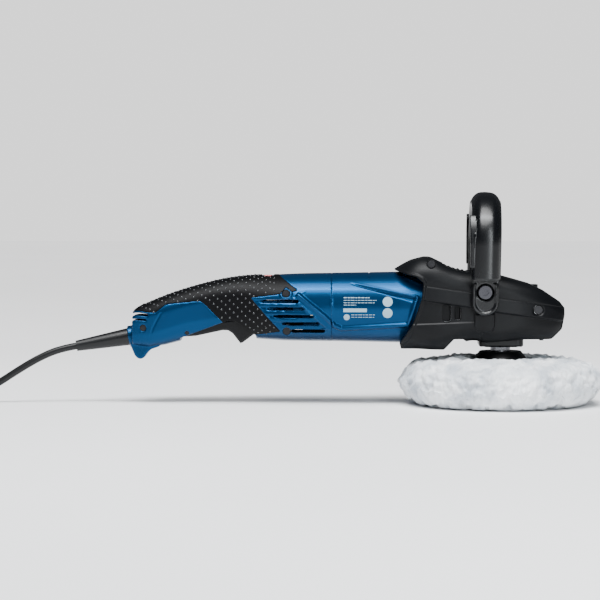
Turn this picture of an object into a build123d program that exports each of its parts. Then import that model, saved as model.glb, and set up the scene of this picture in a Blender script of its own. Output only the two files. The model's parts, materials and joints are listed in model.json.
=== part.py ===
from build123d import *

import os
from math import acos, atan2, cos, hypot, pi, radians, sin, tan

os.makedirs("parts", exist_ok=True)

# Rotary polisher with a two-stage gear head, a wool bonnet and a bow handle.
# Origin: centre of the bonnet's working face, on the spindle's axis. +X points to
# the gear head's nose, +Y to the user's left and +Z up. All sizes in millimetres.

# ---------------------------------------------------------------- driving sizes
WIDE = 90                     # more than half of any width, for cuts right across
RUN_GAP = 0.05                # radial running clearance of a shaft in its bearing
PART_GAP = 0.4                # gap between a moving piece and its opening

MOTOR_Z = 96.7                # height of the armature's axis
LAY_X = 32.0                  # layshaft axis, in front of the spindle
SEAM_X = -168.0               # joint between motor housing and rear handle
BARREL_R = 35.4               # motor housing outside, at its front
BARREL_BORE_R = 31.2          # motor housing inside
FLANGE_X = -71.5              # rear face of the motor housing's front flange
FLANGE_FRONT_X = -68.3
CASE_X = -68.0                # rear face of the gear housing
PLATE_Z = 66.3                # underside of the gear housing's bottom plate
CASE_FLOOR_Z = 70.3           # where that plate meets the gear housing

COVER_WALL = 3.0
CASE_INSET = 3.5              # gear housing inside the cover's outer surface
HANDLE_WALL = 3.6             # handle shell with its grip layer
GRIP_DEPTH = 1.2              # soft grip's thickness

BOW_BOLT = (-17.2, 113.6)     # x and z of the bow handle's side bolts
BOW_LEAN = 1.2                # degrees that the bow leans forward
LOCK_Y = 10.6                 # spindle lock beside the layshaft, above the bevel gear
TRIGGER_PIVOT = (-312.0, 71.5)
TRIGGER_HALF = 14.0
LATCH = (-262.0, 96.0)        # lock-on button, x and z, on the left side
DIAL = (-232.0, 117.7)        # speed dial's centre, x and z
DIAL_R = 11.0

PRESSURE = radians(20)        # gear pressure angle
SPUR_MODULE, GEAR_TEETH, PINION_TEETH = 1.6, 30, 10
BEVEL_MODULE, CROWN_TEETH, BEVEL_TEETH = 1.4, 28, 9
BEVEL_FACE = 6.0

CORD_R = 3.5
SLEEVE_DROP = 10.2            # degrees that the bend sleeve points down
SLEEVE_LENGTH = 54.0
COIL_AT = (-595.0, 43.5)      # centre of the put-away cord coil on the floor
COIL_MEAN_R = 38.5
COIL_SIDE = 28.0

SIDES = (("right", Keep.TOP), ("left", Keep.BOTTOM))     # of Plane.XZ, whose normal is -Y


# ---------------------------------------------------------------- helpers
def section_loft(stations, inset=0.0, end_gap=0.0, ruled=False):
    """Solid through upright rounded sections: x, lowest z, highest z, half width, corner."""
    first, last = stations[0][0], stations[-1][0]
    with BuildPart() as solid:
        for x, low, high, half, corner in stations:
            x = min(max(x, first + end_gap), last - end_gap)
            with BuildSketch(Plane(origin=(x, 0, (low + high) / 2), x_dir=(0, 1, 0), z_dir=(1, 0, 0))):
                RectangleRounded(2 * (half - inset), high - low - 2 * inset, corner - inset)
        loft(ruled=ruled)
    return solid.part


def side_slab(outline, inset=0.0):
    """Side outline in x and z, drawn in by inset and extruded right across."""
    with BuildPart() as slab:
        with BuildSketch(Plane.XZ):
            Polygon(*outline, align=None)
            if inset:
                offset(amount=-inset, kind=Kind.INTERSECTION, mode=Mode.REPLACE)
        extrude(amount=WIDE, both=True)
    return slab.part


def tooth_outline(module, teeth, addendum, dedendum, share):
    """One involute tooth as (up, across) points from its pitch point, root points first."""
    pitch_r = module * teeth / 2
    base_r = pitch_r * cos(PRESSURE)
    root_r = pitch_r - dedendum * module
    tip_r = pitch_r + addendum * module
    start_r = max(base_r, root_r)
    radii = [root_r - 0.4, start_r] + [start_r + (tip_r - start_r) * k / 3 for k in (1, 2, 3)]
    flank = []
    for r in radii:
        angle = acos(min(base_r / r, 1.0))
        half = pi * share / teeth + tan(PRESSURE) - PRESSURE - (tan(angle) - angle)
        flank.append((r * cos(half) - pitch_r, r * sin(half)))
    return flank + [(up, -across) for up, across in reversed(flank)]


def bevel_tooth(outline, apex, along, up, pitch_distance):
    """One straight bevel tooth that shrinks towards the apex of its pitch cone."""
    with BuildPart() as tooth:
        for distance in (pitch_distance, pitch_distance - BEVEL_FACE):
            shrink = distance / pitch_distance
            with BuildSketch(Plane(origin=apex + along * distance, x_dir=up, z_dir=along)):
                Polygon(*[(u * shrink, a * shrink) for u, a in outline], align=None)
        loft(ruled=True)
    return tooth.part


def corner_radii(route):
    """Largest tangent arc at each corner of a route, 0.45 of its shorter run."""
    radii = []
    for before, corner, after in zip(route, route[1:], route[2:]):
        run_in, run_out = Vector(*corner) - Vector(*before), Vector(*after) - Vector(*corner)
        turn = radians(run_in.get_angle(run_out))
        radii.append(0.45 * min(run_in.length, run_out.length) / tan(turn / 2))
    return radii


# ---------------------------------------------------------------- gear head: cover and housing
COVER_OUTLINE = [
    (-105.8, 134.4), (-99, 138.8), (-89.5, 143.3), (-76.7, 146.6), (-70.4, 146.6), (-57.6, 140.4),
    (-46.1, 135.6), (-31.5, 134.4), (-1, 128.3), (13.7, 124.3), (28.3, 120.2), (43, 113.3),
    (57.7, 103.4), (62.8, 96.8), (62.8, 90.2), (59.9, 76.2), (49.6, 66), (22.1, 66), (-22, 62.7),
    (-34, 63.3), (-38.5, 66.8), (-47.4, 66.8), (-57, 55.9), (-99.4, 56.6), (-100.7, 61.7),
    (-87.6, 82.1), (-79.3, 106.3), (-77.4, 122.5), (-84.4, 128.3), (-94, 130.5),
]
COVER_STATIONS = [
    (-106, 55, 136, 38, 30), (-92, 55, 143, 40.5, 26), (-74, 55, 147, 42, 22), (-56, 55, 141, 42, 20),
    (-44, 60, 136, 41.5, 18), (-15, 62, 132, 40.5, 16), (10, 63, 126, 39, 16), (30, 65, 120, 35.5, 16),
    (46, 65, 112.5, 30, 15), (57, 69, 105, 24, 13), (64, 74, 99, 15, 10),
]
HUMP_SCREW = (-69.6, 140.7, 30.0)      # x, z and depth of the head's seat
NOSE_SCREW = (35.6, 95.8, 31.2)
EXHAUST = ((-54.8, 92.5, 8.4, 16.0), (-44.2, 92.5, 6.4, 13.0))    # x, z, width, height
PLATE_ROUNDS = ((0, 31.0), (31, 22.0))                            # x and radius of its two ends

cover_outer = section_loft(COVER_STATIONS)
cover_inner = section_loft(COVER_STATIONS, COVER_WALL, COVER_WALL)
case_outer = section_loft(COVER_STATIONS, CASE_INSET, CASE_INSET)
cover_side = side_slab(COVER_OUTLINE)
cover_side_inner = side_slab(COVER_OUTLINE, COVER_WALL)
case_side = side_slab(COVER_OUTLINE, CASE_INSET)

with BuildPart() as cover_hollow:
    add(cover_inner)
    add(cover_side_inner, mode=Mode.INTERSECT)

with BuildPart() as cover_skin:
    add(cover_outer)
    add(cover_side, mode=Mode.INTERSECT)
    add(cover_hollow.part, mode=Mode.SUBTRACT)
    with BuildSketch(Plane.YZ.offset(-110)):                      # room for the motor housing
        with Locations((0, MOTOR_Z)):
            Circle(BARREL_R + 0.3)
    extrude(amount=110 + CASE_X, mode=Mode.SUBTRACT)
    with BuildSketch(Plane.XY.offset(50)):                        # opening for the bottom plate
        for x, r in PLATE_ROUNDS:
            with Locations((x, 0)):
                Circle(r + PART_GAP)
        make_hull()
    extrude(amount=CASE_FLOOR_Z + 0.2 - 50, mode=Mode.SUBTRACT)
    with BuildSketch(Plane.XZ):                                   # screw post across the hump
        with Locations(HUMP_SCREW[:2]):
            Circle(4.6)
    extrude(amount=HUMP_SCREW[2] + 4, both=True)
    with BuildSketch(Plane.XZ):
        with Locations(HUMP_SCREW[:2]):
            Circle(1.6)
        with Locations(NOSE_SCREW[:2]):
            Circle(2.1)
        with Locations(BOW_BOLT):
            Circle(9.3)
        for x, z, width, height in EXHAUST:
            with Locations((x, z)):
                RectangleRounded(width, height, 2.5)
    extrude(amount=WIDE, both=True, mode=Mode.SUBTRACT)
    with BuildSketch(Plane.XZ.offset(HUMP_SCREW[2])):
        with Locations(HUMP_SCREW[:2]):
            Circle(4.2)
    extrude(amount=20, mode=Mode.SUBTRACT)
    for side in (1, -1):
        with BuildSketch(Plane.XZ.offset(side * NOSE_SCREW[2])):
            with Locations(NOSE_SCREW[:2]):
                Circle(4.8)
        extrude(amount=side * 8, mode=Mode.SUBTRACT)
    with BuildSketch(Plane.XY.offset(105)):                       # hole for the lock button
        with Locations((LAY_X, LOCK_Y)):
            Circle(6.0 + PART_GAP)
    extrude(amount=30, mode=Mode.SUBTRACT)

for side, keep in SIDES:
    with BuildPart() as gear_cover:
        add(cover_skin.part)
        split(bisect_by=Plane.XZ, keep=keep)
    gear_cover.part.label = f"gear_cover_{side}"
    export_step(gear_cover.part, f"parts/gear_cover_{side}.step")

LOWER_CHAMBER = ((0, 27.0), (LAY_X, 12.0))
BEVEL_CHAMBER = (82.9, 95.0, 21.5)            # lowest z, highest z, radius
CASE_SCREWS = [(y, MOTOR_Z + z) for y in (-29.5, 29.5) for z in (-29, 29)]
PLATE_SCREWS = [(-8, -27.9), (-8, 27.9), (40, -14), (40, 14)]
FLANGE_SCREWS = [(x, y) for x in (-17.5, 17.5) for y in (-17.5, 17.5)]

with BuildPart() as gear_housing:
    add(case_outer)
    add(case_side, mode=Mode.INTERSECT)
    with Locations((CASE_X - 30, 0, 100)):                        # square off the rear
        Box(60, 200, 200, mode=Mode.SUBTRACT)
    with Locations((CASE_X, 0, 133.4 + 20)):                      # low roof under the hump's screw
        Box(40, 200, 40, mode=Mode.SUBTRACT)
    with Locations((20, 0, CASE_FLOOR_Z - 20)):
        Box(104, 200, 40, mode=Mode.SUBTRACT)
    with BuildSketch(Plane.XZ):                                   # bosses for the bow's bolts
        with Locations(BOW_BOLT):
            Circle(9.0)
    extrude(amount=41.3, both=True)
    with BuildSketch(Plane.YZ.offset(CASE_X)):                    # air duct behind the gears
        with Locations((0, 100.5)):
            RectangleRounded(60, 53, 14)
    extrude(amount=-28 - CASE_X, mode=Mode.SUBTRACT)
    with BuildSketch(Plane.XY.offset(CASE_FLOOR_Z)):
        for x, r in LOWER_CHAMBER:
            with Locations((x, 0)):
                Circle(r)
        make_hull()
    extrude(amount=BEVEL_CHAMBER[0] - CASE_FLOOR_Z, mode=Mode.SUBTRACT)
    with BuildSketch(Plane.XY.offset(BEVEL_CHAMBER[0])):
        with Locations((LAY_X, 0)):
            Circle(BEVEL_CHAMBER[2])
    extrude(amount=BEVEL_CHAMBER[1] - BEVEL_CHAMBER[0], mode=Mode.SUBTRACT)
    with BuildSketch(Plane.XY.offset(BEVEL_CHAMBER[0])):          # upper spindle bearing
        Circle(8.0)
    extrude(amount=88 - BEVEL_CHAMBER[0], mode=Mode.SUBTRACT)
    with BuildSketch(Plane.XY.offset(88)):
        Circle(5.0)
    extrude(amount=1.2, mode=Mode.SUBTRACT)
    with BuildSketch(Plane.XY.offset(BEVEL_CHAMBER[1])):          # upper layshaft bearing
        with Locations((LAY_X, 0)):
            Circle(8.0)
    extrude(amount=6.4, mode=Mode.SUBTRACT)
    for x, length, r in ((-30, 17, 11.0), (-14, 26, 6.0), (11, 13, 9.0)):     # armature's bore
        with BuildSketch(Plane.YZ.offset(x)):
            with Locations((0, MOTOR_Z)):
                Circle(r)
        extrude(amount=length, mode=Mode.SUBTRACT)
    for low, r in ((90, 1.55), (103, 3.2), (108.5, 6.4)):         # lock pin, spring and button
        with BuildSketch(Plane.XY.offset(low)):
            with Locations((LAY_X, LOCK_Y)):
                Circle(r)
        extrude(amount=40, mode=Mode.SUBTRACT)
    for side in (1, -1):
        with BuildSketch(Plane.XZ.offset(side * 22)):
            with Locations(BOW_BOLT):
                Circle(4.0)
            with Locations(NOSE_SCREW[:2]):
                Circle(1.9)
        extrude(amount=side * 40, mode=Mode.SUBTRACT)
        with BuildSketch(Plane.XZ.offset(side * (NOSE_SCREW[2] - 0.2))):      # seat for the screw's head
            with Locations(NOSE_SCREW[:2]):
                Circle(4.5)
        extrude(amount=side * 10, mode=Mode.SUBTRACT)
    with BuildSketch(Plane.XZ):
        for x, z, width, height in EXHAUST:
            with Locations((x, z)):
                RectangleRounded(width, height, 2.5)
    extrude(amount=WIDE, both=True, mode=Mode.SUBTRACT)
    with BuildSketch(Plane.YZ.offset(CASE_X)):
        with Locations(*CASE_SCREWS):
            Circle(2.0)
    extrude(amount=16, mode=Mode.SUBTRACT)
    with BuildSketch(Plane.XY.offset(CASE_FLOOR_Z)):
        with Locations(*PLATE_SCREWS):
            Circle(1.5)
    extrude(amount=9, mode=Mode.SUBTRACT)
gear_housing.part.label = "gear_housing"
export_step(gear_housing.part, "parts/gear_housing.step")

with BuildPart() as bearing_plate:
    with BuildSketch(Plane.XY.offset(PLATE_Z)):
        for x, r in PLATE_ROUNDS:
            with Locations((x, 0)):
                Circle(r)
        make_hull()
    extrude(amount=CASE_FLOOR_Z - PLATE_Z)
    with BuildSketch(Plane.XY.offset(CASE_FLOOR_Z)):
        with Locations((LAY_X, 0)):
            Circle(10.5)
    extrude(amount=2.9)
    with BuildSketch(Plane.XY.offset(68.2)):
        with Locations((LAY_X, 0)):
            Circle(8.0)
    extrude(amount=5, mode=Mode.SUBTRACT)
    with BuildSketch(Plane.XY.offset(PLATE_Z)):
        Circle(20.0)
        with Locations(*PLATE_SCREWS):
            Circle(1.6)
        with Locations(*FLANGE_SCREWS):
            Circle(1.5)
    extrude(amount=CASE_FLOOR_Z - PLATE_Z, mode=Mode.SUBTRACT)
bearing_plate.part.label = "bearing_plate"
export_step(bearing_plate.part, "parts/bearing_plate.step")

with BuildPart() as spindle_bearing_flange:
    with BuildSketch(Plane.XY.offset(57.9)):
        RectangleRounded(44, 44, 6)
    extrude(amount=PLATE_Z - 57.9)
    chamfer(spindle_bearing_flange.faces().sort_by(Axis.Z)[0].edges(), 1.6)
    with BuildSketch(Plane.XY.offset(PLATE_Z)):
        Circle(19.9)
    extrude(amount=4.9)
    with BuildSketch(Plane.XY.offset(59.5)):
        Circle(17.5)
    extrude(amount=12, mode=Mode.SUBTRACT)
    with BuildSketch(Plane.XY.offset(57.9)):
        Circle(11.5)
        with Locations(*FLANGE_SCREWS):
            Circle(1.6)
    extrude(amount=9, mode=Mode.SUBTRACT)
    with BuildSketch(Plane.XY.offset(57.9)):
        with Locations(*FLANGE_SCREWS):
            Circle(3.1)
    extrude(amount=2.6, mode=Mode.SUBTRACT)
spindle_bearing_flange.part.label = "spindle_bearing_flange"
export_step(spindle_bearing_flange.part, "parts/spindle_bearing_flange.step")

# ---------------------------------------------------------------- gears and shafts
with BuildPart() as spindle:
    with BuildSketch(Plane.XZ):
        Polygon(
            (0, 40.6), (6.9, 40.6), (6.9, 53.1), (10, 53.1), (10, 59.2), (7.5 - RUN_GAP, 59.2),
            (7.5 - RUN_GAP, 72.5), (8, 72.5), (8, 82), (4 - RUN_GAP, 82), (4 - RUN_GAP, 88.6), (0, 88.6),
            align=None,
        )
    revolve(axis=Axis.Z)
    with Locations((0, 8.5 + 5, 55.6), (0, -8.5 - 5, 55.6)):      # flats for a 17 mm spanner
        Box(30, 10, 3.2, mode=Mode.SUBTRACT)
spindle.part.label = "spindle"
export_step(spindle.part, "parts/spindle.step")

with BuildPart() as spur_gear:
    with BuildSketch(Plane.XY.offset(74.5)):
        Circle(SPUR_MODULE * (GEAR_TEETH / 2 - 1.2))
        with PolarLocations(SPUR_MODULE * GEAR_TEETH / 2, GEAR_TEETH):
            Polygon(*tooth_outline(SPUR_MODULE, GEAR_TEETH, 0.6, 1.2, 0.43), align=None)
        Circle(8.0, mode=Mode.SUBTRACT)
    extrude(amount=7)
    with BuildSketch(Plane.XY.offset(74.5)):
        with PolarLocations(15, 6):
            Circle(3.5)
    extrude(amount=7, mode=Mode.SUBTRACT)
spur_gear.part.label = "spur_gear"
export_step(spur_gear.part, "parts/spur_gear.step")

with BuildPart() as layshaft:
    with BuildSketch(Plane.XZ):
        Polygon(
            (LAY_X, 68.6), (LAY_X + 4 - RUN_GAP, 68.6), (LAY_X + 4 - RUN_GAP, 73.6), (LAY_X + 6.4, 74),
            (LAY_X + 6.4, 82.8), (LAY_X + 4 - RUN_GAP, 83.5), (LAY_X + 4 - RUN_GAP, 101), (LAY_X, 101),
            align=None,
        )
    revolve(axis=Axis((LAY_X, 0, 0), (0, 0, 1)))
    with BuildSketch(Plane.XY.offset(74.2)):
        with Locations((LAY_X, 0)):
            with PolarLocations(SPUR_MODULE * PINION_TEETH / 2, PINION_TEETH, start_angle=18):
                Polygon(*tooth_outline(SPUR_MODULE, PINION_TEETH, 0.9, 1.0, 0.45), align=None)
    extrude(amount=8)
layshaft.part.label = "layshaft"
export_step(layshaft.part, "parts/layshaft.step")

# The bevel pair's pitch cones meet at one apex, on the armature's axis over the layshaft.
APEX = Vector(LAY_X, 0, MOTOR_Z)
CROWN_R = BEVEL_MODULE * CROWN_TEETH / 2
BEVEL_R = BEVEL_MODULE * BEVEL_TEETH / 2
CONE_LENGTH = hypot(CROWN_R, BEVEL_R)
CONE_ANGLE = atan2(BEVEL_R, CROWN_R)          # half angle of the pinion's pitch cone
FACE_SHARE = 1 - BEVEL_FACE / CONE_LENGTH     # inner end of a tooth, as a share of its outer end
CROWN_DEDENDUM, BEVEL_DEDENDUM = 1.1, 0.8

crown_tooth = bevel_tooth(
    tooth_outline(BEVEL_MODULE, CROWN_TEETH / sin(CONE_ANGLE), 0.55, CROWN_DEDENDUM, 0.42),
    APEX, Vector(cos(CONE_ANGLE), 0, -sin(CONE_ANGLE)), Vector(sin(CONE_ANGLE), 0, cos(CONE_ANGLE)),
    CONE_LENGTH,
)
crown_root = Vector(CROWN_R, -BEVEL_R) - Vector(sin(CONE_ANGLE), cos(CONE_ANGLE)) * CROWN_DEDENDUM * BEVEL_MODULE

with BuildPart() as bevel_gear:
    with BuildSketch(Plane(origin=APEX, x_dir=(1, 0, 0), z_dir=(0, -1, 0))):
        Polygon(
            (4, -13.2), (CROWN_R, -13.2), (CROWN_R, crown_root.Y * CROWN_R / crown_root.X),
            (12.7, crown_root.Y * 12.7 / crown_root.X), (12.7, -8.7), (7, -8.7), (7, -4.5), (4, -4.5),
            align=None,
        )
    revolve(axis=Axis(APEX, (0, 0, 1)))
    add([crown_tooth.rotate(Axis(APEX, (0, 0, 1)), k * 360 / CROWN_TEETH) for k in range(CROWN_TEETH)])
    with BuildSketch(Plane(origin=APEX + Vector(0, 0, -14))):     # four holes for the lock pin
        with PolarLocations(LOCK_Y, 4):
            Circle(1.9)
    extrude(amount=8, mode=Mode.SUBTRACT)
bevel_gear.part.label = "bevel_gear"
export_step(bevel_gear.part, "parts/bevel_gear.step")

pinion_tooth = bevel_tooth(
    tooth_outline(BEVEL_MODULE, BEVEL_TEETH / cos(CONE_ANGLE), 0.8, BEVEL_DEDENDUM, 0.44),
    APEX, Vector(-cos(CONE_ANGLE), 0, sin(CONE_ANGLE)), Vector(sin(CONE_ANGLE), 0, cos(CONE_ANGLE)),
    CONE_LENGTH,
)
pinion_root = Vector(-CROWN_R, BEVEL_R) - Vector(sin(CONE_ANGLE), cos(CONE_ANGLE)) * BEVEL_DEDENDUM * BEVEL_MODULE

with BuildPart() as bevel_pinion:
    with BuildSketch(Plane(origin=APEX, x_dir=(1, 0, 0), z_dir=(0, -1, 0))):
        Polygon(
            (-20.5, 2.4), (-20.5, 5.0), (pinion_root.X, pinion_root.Y),
            (pinion_root.X * FACE_SHARE, pinion_root.Y * FACE_SHARE), (-13.2, 3.4), (-13.2, 2.4),
            align=None,
        )
    revolve(axis=Axis(APEX, (1, 0, 0)))
    add([pinion_tooth.rotate(Axis(APEX, (1, 0, 0)), k * 360 / BEVEL_TEETH) for k in range(BEVEL_TEETH)])
    with BuildSketch(Plane.YZ.offset(LAY_X - 21)):
        with Locations((0, MOTOR_Z)):
            Circle(2.4)
    extrude(amount=9, mode=Mode.SUBTRACT)
bevel_pinion.part.label = "bevel_pinion"
export_step(bevel_pinion.part, "parts/bevel_pinion.step")

BEARINGS = {                                  # plane of one face, bore radius, outside radius, width
    "spindle_upper_bearing": [(Plane.XY.offset(83), 4.0, 8.0, 5.0)],
    "spindle_lower_bearing": [(Plane.XY.offset(59.5), 7.5, 17.5, 11.0)],
    "layshaft_bearings": [
        (Plane.XY.offset(68.2).shift_origin((LAY_X, 0, 68.2)), 4.0, 8.0, 5.0),
        (Plane.XY.offset(95.2).shift_origin((LAY_X, 0, 95.2)), 4.0, 8.0, 5.0),
    ],
    "motor_bearings": [
        (Plane.YZ.offset(-20).shift_origin((-20, 0, MOTOR_Z)), 4.0, 11.0, 7.0),
        (Plane.YZ.offset(-205.5).shift_origin((-205.5, 0, MOTOR_Z)), 4.0, 11.0, 7.0),
    ],
}
for name, rings in BEARINGS.items():
    with BuildPart() as bearing:
        for plane, bore_r, outer_r, width in rings:
            with BuildSketch(plane):
                Circle(outer_r)
                Circle(bore_r, mode=Mode.SUBTRACT)
            extrude(amount=width)
            middle_r = (bore_r + outer_r) / 2
            groove = (outer_r - bore_r) / 5
            for face in (0, width - 0.4):                         # the shields sit in both faces
                with BuildSketch(plane.offset(face)):
                    Circle(middle_r + groove)
                    Circle(middle_r - groove, mode=Mode.SUBTRACT)
                extrude(amount=0.4, mode=Mode.SUBTRACT)
    bearing.part.label = name
    export_step(bearing.part, f"parts/{name}.step")

# ---------------------------------------------------------------- motor
ARMATURE_AXIS = Axis((0, 0, MOTOR_Z), (1, 0, 0))
SLOTS = 12
CORE_X = (-164.0, -112.0)
STATOR_X = (-162.0, -114.0)
BRUSH_X = -184.0
MOTOR_PLANE = Plane(origin=(0, 0, MOTOR_Z), x_dir=(1, 0, 0), z_dir=(0, -1, 0))
ACROSS = Plane.YZ.shift_origin((0, 0, MOTOR_Z))

with BuildPart() as motor_housing:
    with BuildSketch(MOTOR_PLANE):
        Polygon(
            (-207, 11), (-207, 15), (-197, 15), (-197, 27), (SEAM_X, 27), (SEAM_X, 34.2), (-100, BARREL_R),
            (FLANGE_FRONT_X, BARREL_R), (FLANGE_FRONT_X, BARREL_BORE_R), (-163, BARREL_BORE_R), (-163, 24.5), (-194.5, 24.5),
            (-194.5, 8), (-198.5, 8), (-198.5, 11), align=None,
        )
    revolve(axis=ARMATURE_AXIS)
    with BuildSketch(ACROSS.offset(FLANGE_X)):
        RectangleRounded(74, 72.6, 14)
        Circle(BARREL_BORE_R, mode=Mode.SUBTRACT)
    extrude(amount=FLANGE_FRONT_X - FLANGE_X)
    with BuildSketch(ACROSS.offset(FLANGE_X)):
        with Locations(*[(y, z - MOTOR_Z) for y, z in CASE_SCREWS]):
            Circle(2.2)
    extrude(amount=FLANGE_FRONT_X - FLANGE_X, mode=Mode.SUBTRACT)
    with Locations((BRUSH_X, 0, MOTOR_Z)):                        # windows for the brush holders
        Box(10.4, 70, 14.4, mode=Mode.SUBTRACT)
    with Locations((BRUSH_X, 0, MOTOR_Z)):                        # windows for cooling air
        Box(12, 22, 70, mode=Mode.SUBTRACT)
motor_housing.part.label = "motor_housing"
export_step(motor_housing.part, "parts/motor_housing.step")

with BuildPart() as stator_core:
    with BuildSketch(ACROSS.offset(STATOR_X[0])):
        Circle(BARREL_BORE_R - 0.1)
        Circle(25, mode=Mode.SUBTRACT)
        Rectangle(26, 52)
        Circle(19, mode=Mode.SUBTRACT)
    extrude(amount=STATOR_X[1] - STATOR_X[0])
stator_core.part.label = "stator_core"
export_step(stator_core.part, "parts/stator_core.step")

with BuildPart() as field_coils:
    with BuildSketch(ACROSS.offset(-172)):
        Circle(24.2)
        Circle(19.6, mode=Mode.SUBTRACT)
        Rectangle(60, 5, mode=Mode.SUBTRACT)
    extrude(amount=68)
    with Locations(((STATOR_X[0] + STATOR_X[1]) / 2, 0, MOTOR_Z)):    # the poles pass through
        Box(STATOR_X[1] - STATOR_X[0] + 1, 27, 60, mode=Mode.SUBTRACT)
field_coils.part.label = "field_coils"
export_step(field_coils.part, "parts/field_coils.step")

with BuildPart() as air_baffle:
    with BuildSketch(ACROSS.offset(-98)):
        Circle(BARREL_BORE_R - 0.1)
        Circle(22, mode=Mode.SUBTRACT)
    extrude(amount=3)
air_baffle.part.label = "air_baffle"
export_step(air_baffle.part, "parts/air_baffle.step")

with BuildPart() as armature_shaft:
    with BuildSketch(MOTOR_PLANE):
        Polygon(
            (-206.5, 0), (-206.5, 4 - RUN_GAP), (-196, 4 - RUN_GAP), (-196, 5), (-58, 5), (-58, 4 - RUN_GAP),
            (11.4, 4 - RUN_GAP), (11.4, 2.4), (19, 2.4), (19, 0), align=None,
        )
    revolve(axis=ARMATURE_AXIS)
armature_shaft.part.label = "armature_shaft"
export_step(armature_shaft.part, "parts/armature_shaft.step")

with BuildPart() as armature_core:
    with BuildSketch(ACROSS.offset(CORE_X[0])):
        Circle(18.5)
        Circle(5, mode=Mode.SUBTRACT)
        with PolarLocations(15.6, SLOTS):
            Rectangle(6.4, 2.4, mode=Mode.SUBTRACT)
    extrude(amount=CORE_X[1] - CORE_X[0])
armature_core.part.label = "armature_core"
export_step(armature_core.part, "parts/armature_core.step")

with BuildPart() as armature_windings:
    for start, length in ((-175, CORE_X[0] + 175), (CORE_X[1], 9)):
        with BuildSketch(ACROSS.offset(start)):
            Circle(16.5)
            Circle(5, mode=Mode.SUBTRACT)
        extrude(amount=length)
    with BuildSketch(ACROSS.offset(CORE_X[0])):
        with PolarLocations(14.8, SLOTS):
            Rectangle(4.4, 2.2)
    extrude(amount=CORE_X[1] - CORE_X[0])
armature_windings.part.label = "armature_windings"
export_step(armature_windings.part, "parts/armature_windings.step")

with BuildPart() as commutator:
    with BuildSketch(ACROSS.offset(BRUSH_X - 7)):
        Circle(12)
        Circle(5, mode=Mode.SUBTRACT)
        with PolarLocations(11.8, 2 * SLOTS):
            Rectangle(1.2, 0.5, mode=Mode.SUBTRACT)
    extrude(amount=14)
commutator.part.label = "commutator"
export_step(commutator.part, "parts/commutator.step")

with BuildPart() as cooling_fan:
    with BuildSketch(ACROSS.offset(-89)):
        Circle(29.5)
        Circle(5, mode=Mode.SUBTRACT)
    extrude(amount=1.5)
    with BuildSketch(ACROSS.offset(-87.5)):
        Circle(9.5)
        Circle(5, mode=Mode.SUBTRACT)
        with PolarLocations(20, SLOTS):
            with Locations(Rotation(0, 0, 25)):
                Rectangle(16, 1.2)
    extrude(amount=8)
cooling_fan.part.label = "cooling_fan"
export_step(cooling_fan.part, "parts/cooling_fan.step")

with BuildPart() as brush_holders:
    for side in (1, -1):
        with BuildSketch(MOTOR_PLANE.offset(side * 13.5)):
            with Locations((BRUSH_X, 0)):
                Rectangle(10, 14)
        extrude(amount=side * 16)
        with BuildSketch(MOTOR_PLANE.offset(side * 13.5)):
            with Locations((BRUSH_X, 0)):
                Rectangle(6.1, 10.1)
        extrude(amount=side * 14.6, mode=Mode.SUBTRACT)
brush_holders.part.label = "brush_holders"
export_step(brush_holders.part, "parts/brush_holders.step")

with BuildPart() as carbon_brushes:
    for side in (1, -1):
        with BuildSketch(MOTOR_PLANE.offset(side * 12.2)):
            with Locations((BRUSH_X, 0)):
                Rectangle(6, 10)
        extrude(amount=side * 10)
carbon_brushes.part.label = "carbon_brushes"
export_step(carbon_brushes.part, "parts/carbon_brushes.step")

with BuildPart() as brush_springs:
    for side in (1, -1):
        with BuildLine():
            turns = Helix(pitch=1.1, height=4.6, radius=2.0, center=(BRUSH_X, side * 22.6, MOTOR_Z),
                          direction=(0, side, 0))
        with BuildSketch(Plane(origin=turns @ 0, z_dir=turns % 0)):
            Circle(0.3)
        sweep(path=turns, is_frenet=True)
brush_springs.part.label = "brush_springs"
export_step(brush_springs.part, "parts/brush_springs.step")

# ---------------------------------------------------------------- rear handle
HANDLE_STATIONS = [
    (-367, 57.5, 92.5, 17, 12), (-351, 56, 101.3, 20.5, 15), (-334, 59, 108.3, 22.5, 17),
    (-311, 65, 116, 23.5, 18), (-285, 68, 122.8, 24.5, 19), (-260, 67, 127.4, 27, 22),
    (-238, 64.6, 129.1, 31, 28), (-215, 63.1, 129.4, 33.6, 32), (-190, 62.6, 130.3, 34.2, 33.6),
    (SEAM_X, 62.4, 130.8, 34.2, 33.9),
]
GUARD_OUTLINE = [                             # the hook that guards the hand, under the cord's exit
    (-368.5, 66), (-368.9, 58.2), (-364.8, 48.4), (-361.9, 45.5), (-358.7, 44.7), (-355.4, 46.3),
    (-352.1, 51.2), (-348.5, 54.5), (-340.3, 57.3), (-338, 62),
]
TRIGGER_EDGE = [                              # lower edge of the shell over the trigger
    (-318.6, 66.4), (-316.5, 67), (-275.9, 82.3), (-270.7, 83.9), (-263.7, 83.9), (-256.7, 79.7),
    (-246.9, 71.9), (-243.6, 69.4), (-243.6, 50), (-318.6, 50),
]
GRIP_OUTLINE = [
    (-375, 92.8), (-343.3, 91.5), (-334.1, 99.1), (-331, 100.3), (-298.9, 103.3), (-294.3, 100.7),
    (-275.9, 82.3), (-270.7, 83.9), (-263.7, 83.9), (-246.9, 71.9), (-243.9, 69.8), (-218.6, 73.3),
    (-248.1, 107), (-218.3, 110.9), (-213, 117.3), (-207.5, 112.8), (-201.4, 114.1), (-220.7, 129.1),
    (-220.7, 140), (-375, 140),
]
HANDLE_SCREWS = ((-355.8, 76.3, 15.0, 3.2), (-213, 111.3, 26.0, 4.5), (-212.6, 73.7, 19.5, 4.5))
GRILLE_RIGHT = (-200.4, -194.7, -185.6, -180.0, -174.7)
REAR_SLOTS = ((-350.5, 87.9, 90.4), (-352.0, 83.3, 85.1))
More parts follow.
